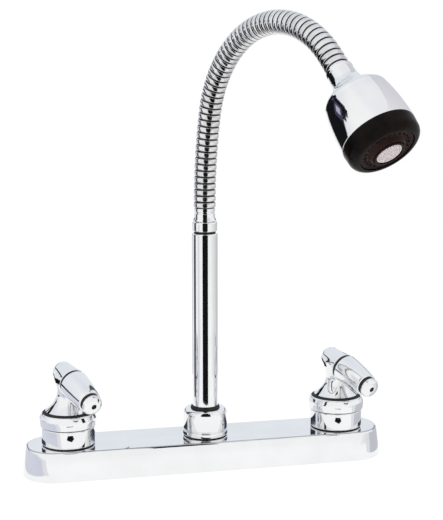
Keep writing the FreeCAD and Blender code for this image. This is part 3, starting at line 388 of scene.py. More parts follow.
class Draft:
    """A mesh while it is being made: its points, faces and UV corners."""

    def __init__(self) -> None:
        """Starts with nothing."""
        self.points: list[Vector] = []
        self.faces: list[tuple[int, ...]] = []
        self.corners: list[tuple[Point2, ...]] = []

    def ring(self, points: Iterable[Vector]) -> list[int]:
        """Adds points.

        Args:
            points: places in millimetres.

        Returns:
            Their numbers.
        """
        start = len(self.points)
        self.points.extend(points)
        return list(range(start, len(self.points)))

    def face(self, numbers: Sequence[int], corners: Sequence[Point2]) -> None:
        """Adds a face, without points that repeat.

        Args:
            numbers: its points.
            corners: their UVs.
        """
        kept: list[int] = []
        uvs: list[Point2] = []
        for number, corner in zip(numbers, corners):
            if number not in kept:
                kept.append(number)
                uvs.append(corner)
        if len(kept) > 2:
            self.faces.append(tuple(kept))
            self.corners.append(tuple(uvs))

    def bridge(self, low: Sequence[int], high: Sequence[int], v0: float = 0.0, v1: float = 1.0) -> None:
        """Joins two closed rings of as many points with quads.

        Args:
            low: the first ring.
            high: the second ring.
            v0: UV height of the first ring.
            v1: UV height of the second ring.
        """
        count = max(len(low), len(high))
        for index in range(count):
            after = (index + 1) % count
            a, b = low[index % len(low)], low[after % len(low)]
            c, d = high[after % len(high)], high[index % len(high)]
            u0, u1 = index / count, (index + 1) / count
            self.face((a, b, c, d), ((u0, v0), (u1, v0), (u1, v1), (u0, v1)))

    def lathe(self, outline: Sequence[Point2], place: Matrix | None = None, segments: int = 112,
              closed: bool = True) -> None:
        """Turns an outline round the place's Z axis.

        Args:
            outline: (radius, station) points.
            place: where it stands.
            segments: points in a turn.
            closed: whether the outline closes on itself.
        """
        place = place or Matrix.Identity(4)
        rings = []
        for radius, station in outline:
            if radius < 1e-6:
                rings.append(self.ring([place @ Vector((0, 0, station))]))
                continue
            rings.append(self.ring(
                place @ Vector((radius * math.cos(a), radius * math.sin(a), station))
                for a in (2 * math.pi * k / segments for k in range(segments))
            ))
        run = 0.0
        for index in range(len(rings) if closed else len(rings) - 1):
            after = (index + 1) % len(rings)
            if len(rings[index]) == 1 and len(rings[after]) == 1:
                continue
            length = (Vector(outline[after]) - Vector(outline[index])).length
            self.bridge(rings[index], rings[after], run / 40, (run + length) / 40)
            run += length

    def piece(self, name: str, finish: Finish, body: Body | None, nodes: Sequence[str] = (),
              sharp: float = 32.0) -> bpy.types.Object:
        """Makes the Blender object.

        Args:
            name: the piece's name.
            finish: what covers it.
            body: the body that it rides on, or None for a piece that rides on no body.
            nodes: CAD nodes that it stands for.
            sharp: edges that turn by more degrees than this stay crisp.

        Returns:
            The object.
        """
        mesh = bpy.data.meshes.new(name)
        mesh.from_pydata([p * MM for p in self.points], [], self.faces)
        layer = mesh.uv_layers.new(name="UVMap")
        for polygon, corners in zip(mesh.polygons, self.corners):
            for loop, corner in zip(polygon.loop_indices, corners):
                layer.data[loop].uv = corner
        work = bmesh.new()
        work.from_mesh(mesh)
        bmesh.ops.recalc_face_normals(work, faces=work.faces)
        work.to_mesh(mesh)
        work.free()
        mesh.shade_smooth()
        mesh.set_sharp_from_angle(angle=math.radians(sharp))
        mesh.materials.append(finish.material())
        item = bpy.data.objects.new(name, mesh)
        bpy.context.collection.objects.link(item)
        if nodes:
            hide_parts(*nodes)
        if body is not None:
            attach(item, body.value)
            LOG.info("%s rides on %s, %d faces", name, body.value, len(mesh.polygons))
        return item


def turned_piece(name: str, corners: Sequence[Corner], finish: Finish, body: Body, nodes: Sequence[str] = (),
                 place: Matrix | None = None, segments: int = 112) -> bpy.types.Object:
    """A piece turned from one closed outline.

    Args:
        name: the piece's name.
        corners: (radius, station, rounding).
        finish: what covers it.
        body: the body that it rides on.
        nodes: CAD nodes that it stands for.
        place: where it stands.
        segments: points in a turn.

    Returns:
        The object.
    """
    draft = Draft()
    draft.lathe(eased(corners), place, segments)
    return draft.piece(name, finish, body, nodes)


def facing(origin: Vector, along: Vector, level: Vector) -> Matrix:
    """A place whose Z axis runs along a direction.

    Args:
        origin: its origin in millimetres.
        along: direction of Z.
        level: rough direction of X.

    Returns:
        The place as a matrix.
    """
    z = along.normalized()
    y = z.cross(level).normalized()
    x = y.cross(z)
    place = Matrix((x, y, z)).transposed().to_4x4()
    place.translation = origin
    return place


# ---------------------------------------------------------------------------------------------
# The deck plate
# ---------------------------------------------------------------------------------------------


@dataclass
class DeckPlate:
    """The long hollow plate, with draft on its sides and three holes under the fittings."""

    length: float = 270.0
    depth: float = 52.0
    height: float = 21.0
    corner: float = 24.0
    draft: float = 7.5
    wall: float = 2.2
    edge: float = 2.0
    spacing: float = 203.2
    corner_steps: int = 22
    holes: tuple[float, ...] = (13.4, 13.9, 13.4)

    def loop(self, inset: float, level: float) -> list[Vector]:
        """One rounded rectangle of the plate.

        Args:
            inset: how far inside the foot's outline it lies.
            level: its height.

        Returns:
            Its points.
        """
        half_x, half_y = self.length / 2 - inset, self.depth / 2 - inset
        radius = max(self.corner - inset, 1.0)
        points = []
        for sx, sy, turn in ((1, 1, 0), (-1, 1, 90), (-1, -1, 180), (1, -1, 270)):
            for step in range(self.corner_steps + 1):
                angle = math.radians(turn + 90 * step / self.corner_steps)
                points.append(Vector((
                    sx * (half_x - radius) + radius * math.cos(angle),
                    sy * (half_y - radius) + radius * math.sin(angle),
                    level,
                )))
        return points

    def build(self) -> bpy.types.Object:
        """Makes the plate.

        Returns:
            The plate's object.
        """
        lean = math.tan(math.radians(self.draft))
        under = self.height - self.wall
        section = eased([
            (lean * under + self.wall + 1.5, under, 0.0),
            (lean * under + self.wall, under, 0.8),
            (self.wall, 0.0, 0.3),
            (0.0, 0.0, 0.4),
            (lean * self.height, self.height, self.edge),
            (lean * self.height + self.edge + 1.2, self.height, 0.0),
        ], closed=False, step=7.5)
        draft = Draft()
        rings = [draft.ring(self.loop(inset, level)) for inset, level in section]
        for low, high in zip(rings, rings[1:]):
            draft.bridge(low, high)
        centres = (-self.spacing / 2, 0.0, self.spacing / 2)
        holes = []
        for x, radius in zip(centres, self.holes):
            pair = [
                draft.ring(Vector((x + radius * math.cos(a), radius * math.sin(a), level))
                           for a in (2 * math.pi * k / 64 for k in range(64)))
                for level in (self.height, under)
            ]
            draft.bridge(*pair)
            holes.append(pair)
        self.cover(draft, rings[-1], [pair[0] for pair in holes])
        self.cover(draft, rings[0], [pair[1] for pair in holes])
        plate = draft.piece("plate_casting", CHROME, Body.DECK, ["deck_plate"])
        # The upward and outward facing rounding along the plate's top edge takes the darker chrome: a painted dark
        # reflection line all round the plate.
        plate.data.materials.append(EDGE_PAINTED_REFLECTION.material())
        for polygon in plate.data.polygons:
            if 0.72 < polygon.normal.z < 0.985 and polygon.center.z > (self.height - self.edge) * MM:
                polygon.material_index = 1
        return plate

    def cover(self, draft: Draft, outer: Sequence[int], holes: Sequence[Sequence[int]]) -> None:
        """Fills a flat face between its outline and its holes.

        Args:
            draft: the plate's mesh.
            outer: the outline's points.
            holes: the points of each hole.
        """
        work = bmesh.new()
        number = {}
        edges = []
        for loop in (outer, *holes):
            made = [work.verts.new(draft.points[i]) for i in loop]
            number.update(zip(made, loop))
            edges += [work.edges.new((a, b)) for a, b in zip(made, made[1:] + made[:1])]
        filled = bmesh.ops.triangle_fill(work, edges=edges, use_beauty=True, use_dissolve=False)
        for item in filled["geom"]:
            if isinstance(item, bmesh.types.BMFace):
                ids = [number[v] for v in item.verts]
                draft.face(ids, [(draft.points[i].x / 40, draft.points[i].y / 40) for i in ids])
        work.free()


# ---------------------------------------------------------------------------------------------
# Handles
# ---------------------------------------------------------------------------------------------


@dataclass
class LeverHandle:
    """One handle: the fixed skirt, the casting with its crown, the grip barrel and the cap."""

    side: Side
    spacing: float = 203.2
    deck: float = 21.0
    skirt_radius: float = 19.4
    skirt_top: float = 34.5
    hub_base: float = 34.9
    hub_radius: float = 20.8
    hub_swell: float = 4.6
    shoulder_radius: float = 19.0
    shoulder: float = 44.4
    flank_top: float = 61.4
    flank_power: float = 2.45
    neck_radius: float = 7.6
    cavity_radius: float = 14.0
    cavity_top: float = 39.6
    turn: float = 19.0
    tilt: float = 16.2
    setback: float = 6.0
    rise: float = 72.7
    crown_radius: float = 7.7
    crown_front: float = 10.2
    crown_length: float = 17.7
    barrel_radius: float = 10.7
    barrel_front: float = 8.1
    barrel_length: float = 28.1
    cap_radius: float = 7.8
    cap_length: float = 5.6
    blend: float = 5.0
    # Heights above the shoulder of the painted dark shade band on the casting.
    painted_shade_band: Point2 = (0.25, 1.75)

    @property
    def body(self) -> Body:
        """The body that the handle turns with."""
        return Body.HOT_HANDLE if self.side is Side.HOT else Body.COLD_HANDLE

    @property
    def axis(self) -> Vector:
        """Where the handle's axis meets the deck."""
        return Vector((self.side.value * self.spacing / 2, 0, 0))

    @property
    def ahead(self) -> Vector:
        """The lever's level direction."""
        turn = math.radians(self.turn)
        return Vector((math.sin(turn), -math.cos(turn), 0))

    @property
    def along(self) -> Vector:
        """The lever's own direction, from the crown to the front."""
        tilt = math.radians(self.tilt)
        return self.ahead * math.cos(tilt) - Vector((0, 0, math.sin(tilt)))

    @property
    def lever_base(self) -> Vector:
        """The middle of the crown's ball, from the handle's foot."""
        return self.ahead * -self.setback + Vector((0, 0, self.rise))

    def lever_place(self) -> Matrix:
        """The lever's place, Z along it.

        Returns:
            The place as a matrix.
        """
        level = Vector((self.ahead.y * -1, self.ahead.x, 0))
        return facing(self.axis + self.lever_base, self.along, level)

    def flank(self, level: float) -> float:
        """The neck's radius at a height.

        Args:
            level: height above the deck's underside.

        Returns:
            The radius in millimetres.
        """
        share = min(max((level - self.shoulder) / (self.flank_top - self.shoulder), 0.0), 1.0)
        return self.neck_radius + (self.shoulder_radius - self.neck_radius) * (1 - share) ** self.flank_power

    def crown(self, station: float) -> float:
        """The crown's radius along the lever, from its ball to the front."""
        return self.crown_radius + (self.crown_front - self.crown_radius) * max(station, 0.0) / 16.5

    def depth(self, point: Vector) -> float:
        """How far outside the casting a point is, with a soft fillet where neck and crown meet.

        Args:
            point: place from the handle's foot.

        Returns:
            Rough distance in millimetres, less than zero inside.
        """
        neck = math.hypot(point.x, point.y) - self.flank(point.z)
        neck = max(neck, point.z - 69.0)
        offset = point - self.lever_base
        station = offset.dot(self.along)
        if station < 0:
            crown = offset.length - self.crown_radius
        else:
            across = (offset - self.along * station).length
            crown = max(across - self.crown(station), station - (self.crown_length - 2.6))
        mix = max(self.blend - abs(neck - crown), 0.0) / self.blend
        return min(neck, crown) - mix * mix * self.blend / 4

    def surface(self, origin: Vector, ray: Vector) -> Vector:
        """Where a ray from inside leaves the casting.

        Args:
            origin: a point inside.
            ray: unit direction.

        Returns:
            The point on the surface.
        """
        near, far = 0.0, 2.0
        while self.depth(origin + ray * far) < 0 and far < 60:
            near, far = far, far + 1.0
        for _ in range(18):
            middle = (near + far) / 2
            if self.depth(origin + ray * middle) < 0:
                near = middle
            else:
                far = middle
        return origin + ray * ((near + far) / 2)

    def casting(self) -> bpy.types.Object:
        """The hub with its bell foot, its neck and the crown of the lever, in one piece.

        Returns:
            The casting's object.
        """
        draft = Draft()
        place = Matrix.Translation(self.axis)
        segments = 132
        bell = eased([
            (self.cavity_radius, self.cavity_top, 1.0),
            (self.cavity_radius, self.hub_base, 0.0),
            (self.skirt_radius - 0.2, self.hub_base, 0.0),
            (self.hub_radius - 0.35, self.hub_base + 0.5, 0.5),
            (self.hub_radius, self.hub_base + self.hub_swell, 2.5),
            (self.hub_radius - 0.15, self.hub_base + 6.4, 2.0),
            (self.shoulder_radius + 0.35, self.shoulder - 0.3, 2.4),
            *((self.flank(level), level, 0.0) for level in (44.65, 44.9, 45.3, 45.75, 46.15, 46.4)),
        ], closed=False, step=6)
        rings = [draft.ring([place @ Vector((0, 0, self.cavity_top))])]
        for radius, station in bell:
            rings.append(draft.ring(
                place @ Vector((radius * math.cos(a), radius * math.sin(a), station))
                for a in (2 * math.pi * k / segments for k in range(segments))
            ))
        rows: list[tuple[float, float]] = [(46.4 + 0.45 * k, 90.0) for k in range(1, 35)]
        last = rows[-1][0]
        steps = 46
        rows += [(last + (69.0 - last) * min(1.0, 2.2 * k / steps), 90.0 * (1 - k / steps))
                 for k in range(1, steps)]
        for level, polar in rows:
            lean = math.radians(polar)
            ring = []
            for k in range(segments):
                a = 2 * math.pi * k / segments
                ray = Vector((math.cos(a) * math.sin(lean), math.sin(a) * math.sin(lean), math.cos(lean)))
                ring.append(place @ self.surface(Vector((0, 0, level)), ray))
            rings.append(draft.ring(ring))
        rings.append(draft.ring([place @ self.surface(Vector((0, 0, 69.0)), Vector((0, 0, 1)))]))
        for index, (low, high) in enumerate(zip(rings, rings[1:])):
            draft.bridge(low, high, index / 100, (index + 1) / 100)
        front = self.crown_length - 2.1
        draft.lathe(eased([
            (0.0, 9.0, 0.0),
            (self.crown(9.0) - 0.6, 9.0, 0.0),
            (self.crown(9.4) + 0.015, 9.4, 0.0),
            (self.crown(front) + 0.015, front, 0.7),
            (self.crown(front) - 1.6, front, 0.0),
            (0.0, front, 0.0),
        ], closed=False), self.lever_place(), 112, closed=False)
        word = self.side.word
        hub = draft.piece(f"{word}_lever_casting", CHROME, self.body, [f"{word}_handle_hub"], sharp=40)
        # The band just above the shoulder, at the neck's foot, takes the near-black seam shade: a painted dark
        # band for shade and dark reflection there.
        hub.data.materials.append(SEAM_SHADE.material())
        low, high = ((self.shoulder + rise) * MM for rise in self.painted_shade_band)
        for polygon in hub.data.polygons:
            if low < polygon.center.z < high:
                polygon.material_index = 1
        return hub

    def build(self) -> None:
        """Makes every piece of the handle."""
        word = self.side.word
        foot = Matrix.Translation(self.axis)
        lever = self.lever_place()
        # A thin near-black ring under the skirt's foot: painted shade where the skirt meets the plate.
        turned_piece(f"{word}_skirt_seal", [
            (13.6, self.deck, 0), (self.skirt_radius - 0.55, self.deck, 0.3),
            (self.skirt_radius - 0.55, self.deck + 0.8, 0.2), (13.6, self.deck + 0.8, 0),
        ], SEAM_SHADE, Body.DECK, place=foot)
        turned_piece(f"{word}_skirt_shell", [
            (17.4, self.deck + 0.6, 0.3), (self.skirt_radius, self.deck + 0.6, 1.1),
            (self.skirt_radius, self.skirt_top, 0.8), (12.2, self.skirt_top, 0.3),
            (12.2, self.skirt_top - 1.8, 0), (17.4, self.skirt_top - 1.8, 0.4),
        ], CHROME, Body.DECK, [f"{word}_skirt"], foot)
        self.casting()
        start, end = self.crown_length, self.crown_length + self.barrel_length
        # A near-black ring in the joint between crown and barrel: painted shade in the seam.
        turned_piece(f"{word}_crown_washer", [
            (5.3, start - 2.5, 0), (9.7, start - 2.5, 0), (10.0, start + 1.0, 0), (5.3, start + 1.0, 0),
        ], SEAM_SHADE, self.body, place=lever)
        drop = self.barrel_radius - self.barrel_front
        belly = [(u, self.barrel_radius + 0.02 - drop * (0.22 * u + 0.79 * u * u))
                 for u in (k / 16 for k in range(1, 16))]
        shell = [(5.1, start + 0.75, 0), (self.barrel_radius, start + 0.75, 0.9)]
        shell += [(r, start + u * self.barrel_length, 0) for u, r in belly]
        shell += [(self.barrel_front, end - 0.9, 0.6), (5.1, end - 0.9, 0)]
        turned_piece(f"{word}_grip_shell", shell, CHROME, self.body, [f"{word}_grip_barrel"], lever)
        # A near-black ring in the joint between barrel and cap: painted shade in the seam.
        turned_piece(f"{word}_cap_washer", [
            (3.0, end - 1.3, 0), (7.3, end - 1.3, 0), (7.05, end + 1.8, 0), (3.0, end + 1.8, 0),
        ], SEAM_SHADE, self.body, place=lever)
        tip = end + self.cap_length
        turned_piece(f"{word}_cap_button", [
            (0.0, end - 3.8, 0), (4.9, end - 3.8, 0.4), (4.9, end + 1.5, 0),
            (self.cap_radius - 0.3, end + 1.5, 0.5),
            (self.cap_radius - 0.4, end + 2.7, 1.0), (6.6, end + 4.2, 2.0), (4.4, tip - 0.25, 3.0),
            (1.9, tip, 0.3), (1.6, tip - 1.1, 0.2), (0.0, tip - 1.1, 0),
        ], CHROME, self.body, [f"{word}_end_cap"], lever)
        # The cap's dimple is a real recess, coloured near-black: painted shade inside it.
        turned_piece(f"{word}_cap_dimple", [
            (0.0, tip - 1.25, 0), (1.68, tip - 1.25, 0), (1.74, tip - 0.25, 0.05), (1.45, tip - 0.5, 0),
            (1.2, tip - 0.95, 0), (0.0, tip - 0.98, 0),
        ], SEAM_SHADE, self.body, place=lever, segments=48)
        self.set_screw()

    def set_screw(self) -> None:
        """The socket screw at the back of the neck."""
        word = self.side.word
        back = -self.ahead
        level = Vector((0, 0, 1))
        place = facing(self.axis + Vector((0, 0, 56.5)), back, level)
        draft = Draft()
        reach = self.flank(56.5) + 0.15
        rim = [(0.0, 3.2), (1.5, 3.2), (1.5, reach - 0.15), (1.38, reach), (0.92, reach)]
        draft.lathe(rim, place, 48, closed=False)
        hexagon = [
            Vector((0.85 * math.cos(a), 0.85 * math.sin(a), 0))
            for a in (2 * math.pi * k / 48 for k in range(48))
        ]
        socket = []
        for k, p in enumerate(hexagon):
            a = 2 * math.pi * k / 48
            flat = 0.72 / math.cos(math.remainder(a, math.pi / 3))
            socket.append(p.normalized() * flat)
        top = draft.ring(place @ (p + Vector((0, 0, reach))) for p in socket)
        low = draft.ring(place @ (p + Vector((0, 0, reach - 1.2))) for p in socket)
        middle = draft.ring([place @ Vector((0, 0, reach - 1.2))])
        mouth = list(range(top[0] - 48, top[0]))
        draft.bridge(mouth, top)
        draft.bridge(top, low)
        draft.bridge(low, middle)
        draft.piece(f"{word}_socket_screw", STEEL, self.body, [f"{word}_set_screw"])


# ---------------------------------------------------------------------------------------------
# Spout
# ---------------------------------------------------------------------------------------------


@dataclass
class SpoutBase:
    """The nut on the plate, the upright tube, its collar and the hose's ferrule."""

    deck: float = 21.0
    foot_radius: float = 16.6
    nut_radius: float = 16.2
    nut_top: float = 41.5
    riser_radius: float = 9.5
    riser_top: float = 172.0
    collar_radius: float = 9.1
    collar_start: float = 173.4
    collar_end: float = 181.0
    hose_start: float = 190.5

    def build(self) -> None:
        """Makes every piece of the spout's base."""
        # A thin near-black ring under the nut's foot: painted shade where the nut meets the plate.
        turned_piece("nut_foot_shade", [
            (14.0, self.deck, 0), (15.9, self.deck, 0.2), (15.9, self.deck + 0.8, 0.2),
            (14.0, self.deck + 0.8, 0),
        ], SEAM_SHADE, Body.DECK)
        turned_piece("spout_nut_shell", [
            (13.7, self.deck + 0.6, 0), (self.foot_radius, self.deck + 0.6, 0.8),
            (self.foot_radius, 25.1, 0.6),
            (15.5, 25.3, 0.15), (15.5, 26.0, 0.15), (self.nut_radius, 26.2, 0.5),
            (self.nut_radius, self.nut_top, 4.4),
            (9.95, self.nut_top, 0.6), (9.95, 38.7, 0), (13.7, 38.7, 0),
        ], CHROME, Body.DECK, ["spout_nut"], segments=128)
        # A near-black ring standing a little proud of the nut: painted shade and dark reflection where the riser
        # leaves the nut.
        turned_piece("riser_foot_shade", [
            (9.6, self.nut_top - 0.5, 0), (10.9, self.nut_top - 0.5, 0), (10.7, self.nut_top + 0.7, 0.3),
            (9.9, self.nut_top + 2.2, 0.3), (9.6, self.nut_top + 2.2, 0),
        ], SEAM_SHADE, Body.DECK)
        turned_piece("riser_shell", [
            (7.1, 17.7, 0), (self.riser_radius, 17.7, 0.3), (self.riser_radius, 36.0, 0),
            (self.riser_radius, 90.0, 0),
            (self.riser_radius, 135.0, 0), (self.riser_radius, self.riser_top, 2.0),
            (7.35, self.riser_top, 0.2),
            (7.35, self.collar_start, 0.1), (6.5, self.collar_start, 0), (6.5, 181.0, 0), (5.2, 181.0, 0),
            (5.2, 166.0, 0), (7.1, 164.0, 0),
        ], CHROME, Body.SPOUT, ["riser_tube"], segments=144)
        # A near-black ring in the seam between riser and collar: painted shade in the gap.
        turned_piece("riser_seam", [
            (6.4, self.riser_top - 0.3, 0), (7.9, self.riser_top - 0.3, 0),
            (7.9, self.collar_start + 0.25, 0),
            (6.4, self.collar_start + 0.25, 0),
        ], SEAM_SHADE, Body.SPOUT)
        turned_piece("collar_shell", [
            (6.6, self.collar_start, 0), (self.collar_radius, self.collar_start, 1.0),
            (self.collar_radius, self.collar_end - 0.4, 1.2), (6.6, self.collar_end - 0.4, 0),
        ], CHROME, Body.SPOUT, ["riser_collar"])
        turned_piece("ferrule_shell", [
            (5.2, self.collar_end - 0.1, 0), (8.6, self.collar_end - 0.1, 0.5), (8.5, 181.9, 1.2),
            (7.65, 183.7, 1.6), (7.6, 186.3, 0.3), (7.1, 186.5, 0.3), (7.1, 187.6, 0.3),
            (7.6, 187.8, 0.3), (7.6, self.hose_start - 0.1, 0.6), (6.3, self.hose_start - 0.1, 0),
            (5.2, 189.6, 0),
        ], CHROME, Body.SPOUT, ["hose_ferrule"])


@dataclass
class RibbedHose:
    """The hose of rolled metal ribs that carries the head, and the water tube inside it."""

    start: float = 190.5
    swing: float = 23.0
    foot: float = 1.5
    low_radius: float = 338.0
    low_turn: float = 11.3
    top_radius: float = 77.6
    top_turn: float = 96.5
    end_radius: float = 71.5
    dip: float = 46.3
    tail: float = 9.5
    pitch: float = 4.6
    bore: float = 6.2
    tube_radius: float = 4.8
    tube_bore: float = 3.4
    rib: tuple[Point2, ...] = (
        (0.00, 7.0), (0.09, 7.0), (0.11, 7.72), (0.17, 7.95), (0.28, 8.06), (0.48, 8.1),
        (0.66, 8.04), (0.78, 7.9), (0.85, 7.68), (0.88, 7.05),
    )

    def spans(self) -> list[Point2]:
        """The runs of the centre line as (length or turn, radius)."""
        last = 90 + self.dip - self.low_turn - self.top_turn
        return [(self.foot, 0), (self.low_turn, self.low_radius), (self.top_turn, self.top_radius),
                (last, self.end_radius), (self.tail, 0)]

    def length(self) -> float:
        """The whole length of the centre line."""
        return sum(size if radius == 0 else math.radians(size) * radius for size, radius in self.spans())

    def at(self, distance: float) -> tuple[Vector, Vector]:
        """The centre line's point and direction.

        Args:
            distance: how far along it.

        Returns:
            The point and the unit direction.
        """
        out, up, heading = 0.0, self.start, 0.0
        left = distance
        spans = self.spans()
        for number, (size, radius) in enumerate(spans):
            length = size if radius == 0 else math.radians(size) * radius
            step = left if number == len(spans) - 1 else min(left, length)
            if radius == 0:
                out, up = out + step * math.sin(heading), up + step * math.cos(heading)
            else:
                turned = heading + step / radius
                out += radius * (math.cos(heading) - math.cos(turned))
                up += radius * (math.sin(turned) - math.sin(heading))
                heading = turned
            left -= step
            if left <= 1e-9 and number < len(spans) - 1:
                break
        swing = math.radians(self.swing)
        level = Vector((math.sin(swing), -math.cos(swing), 0))
        point = level * out + Vector((0, 0, up))
        return point, level * math.sin(heading) + Vector((0, 0, math.cos(heading)))

    def circle(self, distance: float, radius: float, segments: int = 64) -> list[Vector]:
        """A circle square to the centre line.

        Args:
            distance: how far along it.
            radius: the circle's radius.
            segments: points in a turn.

        Returns:
            Its points.
        """
        swing = math.radians(self.swing)
        side = Vector((math.cos(swing), math.sin(swing), 0))
        point, forward = self.at(distance)
        across = forward.cross(side)
        return [
            point + (side * math.cos(a) + across * math.sin(a)) * radius
            for a in (2 * math.pi * k / segments for k in range(segments))
        ]

    def sleeve(self, draft: Draft, outside: Sequence[Point2], inside: float) -> None:
        """A tube along the centre line with a shaped outside.

        Args:
            draft: the mesh.
            outside: (distance, radius) along the centre line.
            inside: radius of its bore.
        """
        rings = [draft.ring(self.circle(d, r)) for d, r in outside]
        first, last = outside[0][0], outside[-1][0]
        count = max(2, round((last - first) / 2.5))
        rings += [draft.ring(self.circle(last + (first - last) * k / count, inside))
                  for k in range(count + 1)]
        for index, low in enumerate(rings):
            high = rings[(index + 1) % len(rings)]
            draft.bridge(low, high, index / 10, (index + 1) / 10)

    def shade_grooves(self, hose: bpy.types.Object, rings: int, segments: int = 64) -> None:
        """Gives the floors of the grooves between ribs a near-black painted shade.

        Args:
            hose: the hose's object.
            rings: circles on its outside.
            segments: faces between two circles.
        """
        hose.data.materials.append(HOSE_GROOVE_PAINTED_SHADE.material())
        floor = {0, len(self.rib) - 1, 1, len(self.rib) - 2}
        for polygon in hose.data.polygons:
            row = polygon.index // segments
            if row < rings - 1 and row % len(self.rib) in floor:
                polygon.material_index = 1

    def build(self) -> None:
        """Makes the hose and its water tube, and bends them between spout and neck."""
        total = self.length()
        count = round(total / self.pitch)
        step = total / count
        outside = [((number + share) * step, radius)
                   for number in range(count) for share, radius in self.rib]
        outside.append((total, 7.0))
        draft = Draft()
        self.sleeve(draft, outside, self.bore)
        hose = draft.piece("ribbed_hose", HOSE_CHROME, None, ["flex_hose"], sharp=45)
        self.shade_grooves(hose, len(outside))
        tube_end = total - 7.3
        draft = Draft()
        self.sleeve(draft, [(-8.4 + (tube_end + 8.4) * k / 110, self.tube_radius) for k in range(111)],
                    self.tube_bore)
        tube = draft.piece("water_line", WHITE_PLASTIC, None, ["water_tube"])
        end, _ = self.at(total)
        neck = next(j for j in frame["joints"] if j["name"] == "neck_flex")
        LOG.info("hose ends %.3f mm from the neck joint", (end - Vector(neck["pos_m"]) / MM).length)
        for piece in (hose, tube):
            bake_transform(piece)
        LOG.info("ribbed_hose bends from spout to neck, %d ribs over %.1f mm", count, total)


# ---------------------------------------------------------------------------------------------
# Spray head
# ---------------------------------------------------------------------------------------------


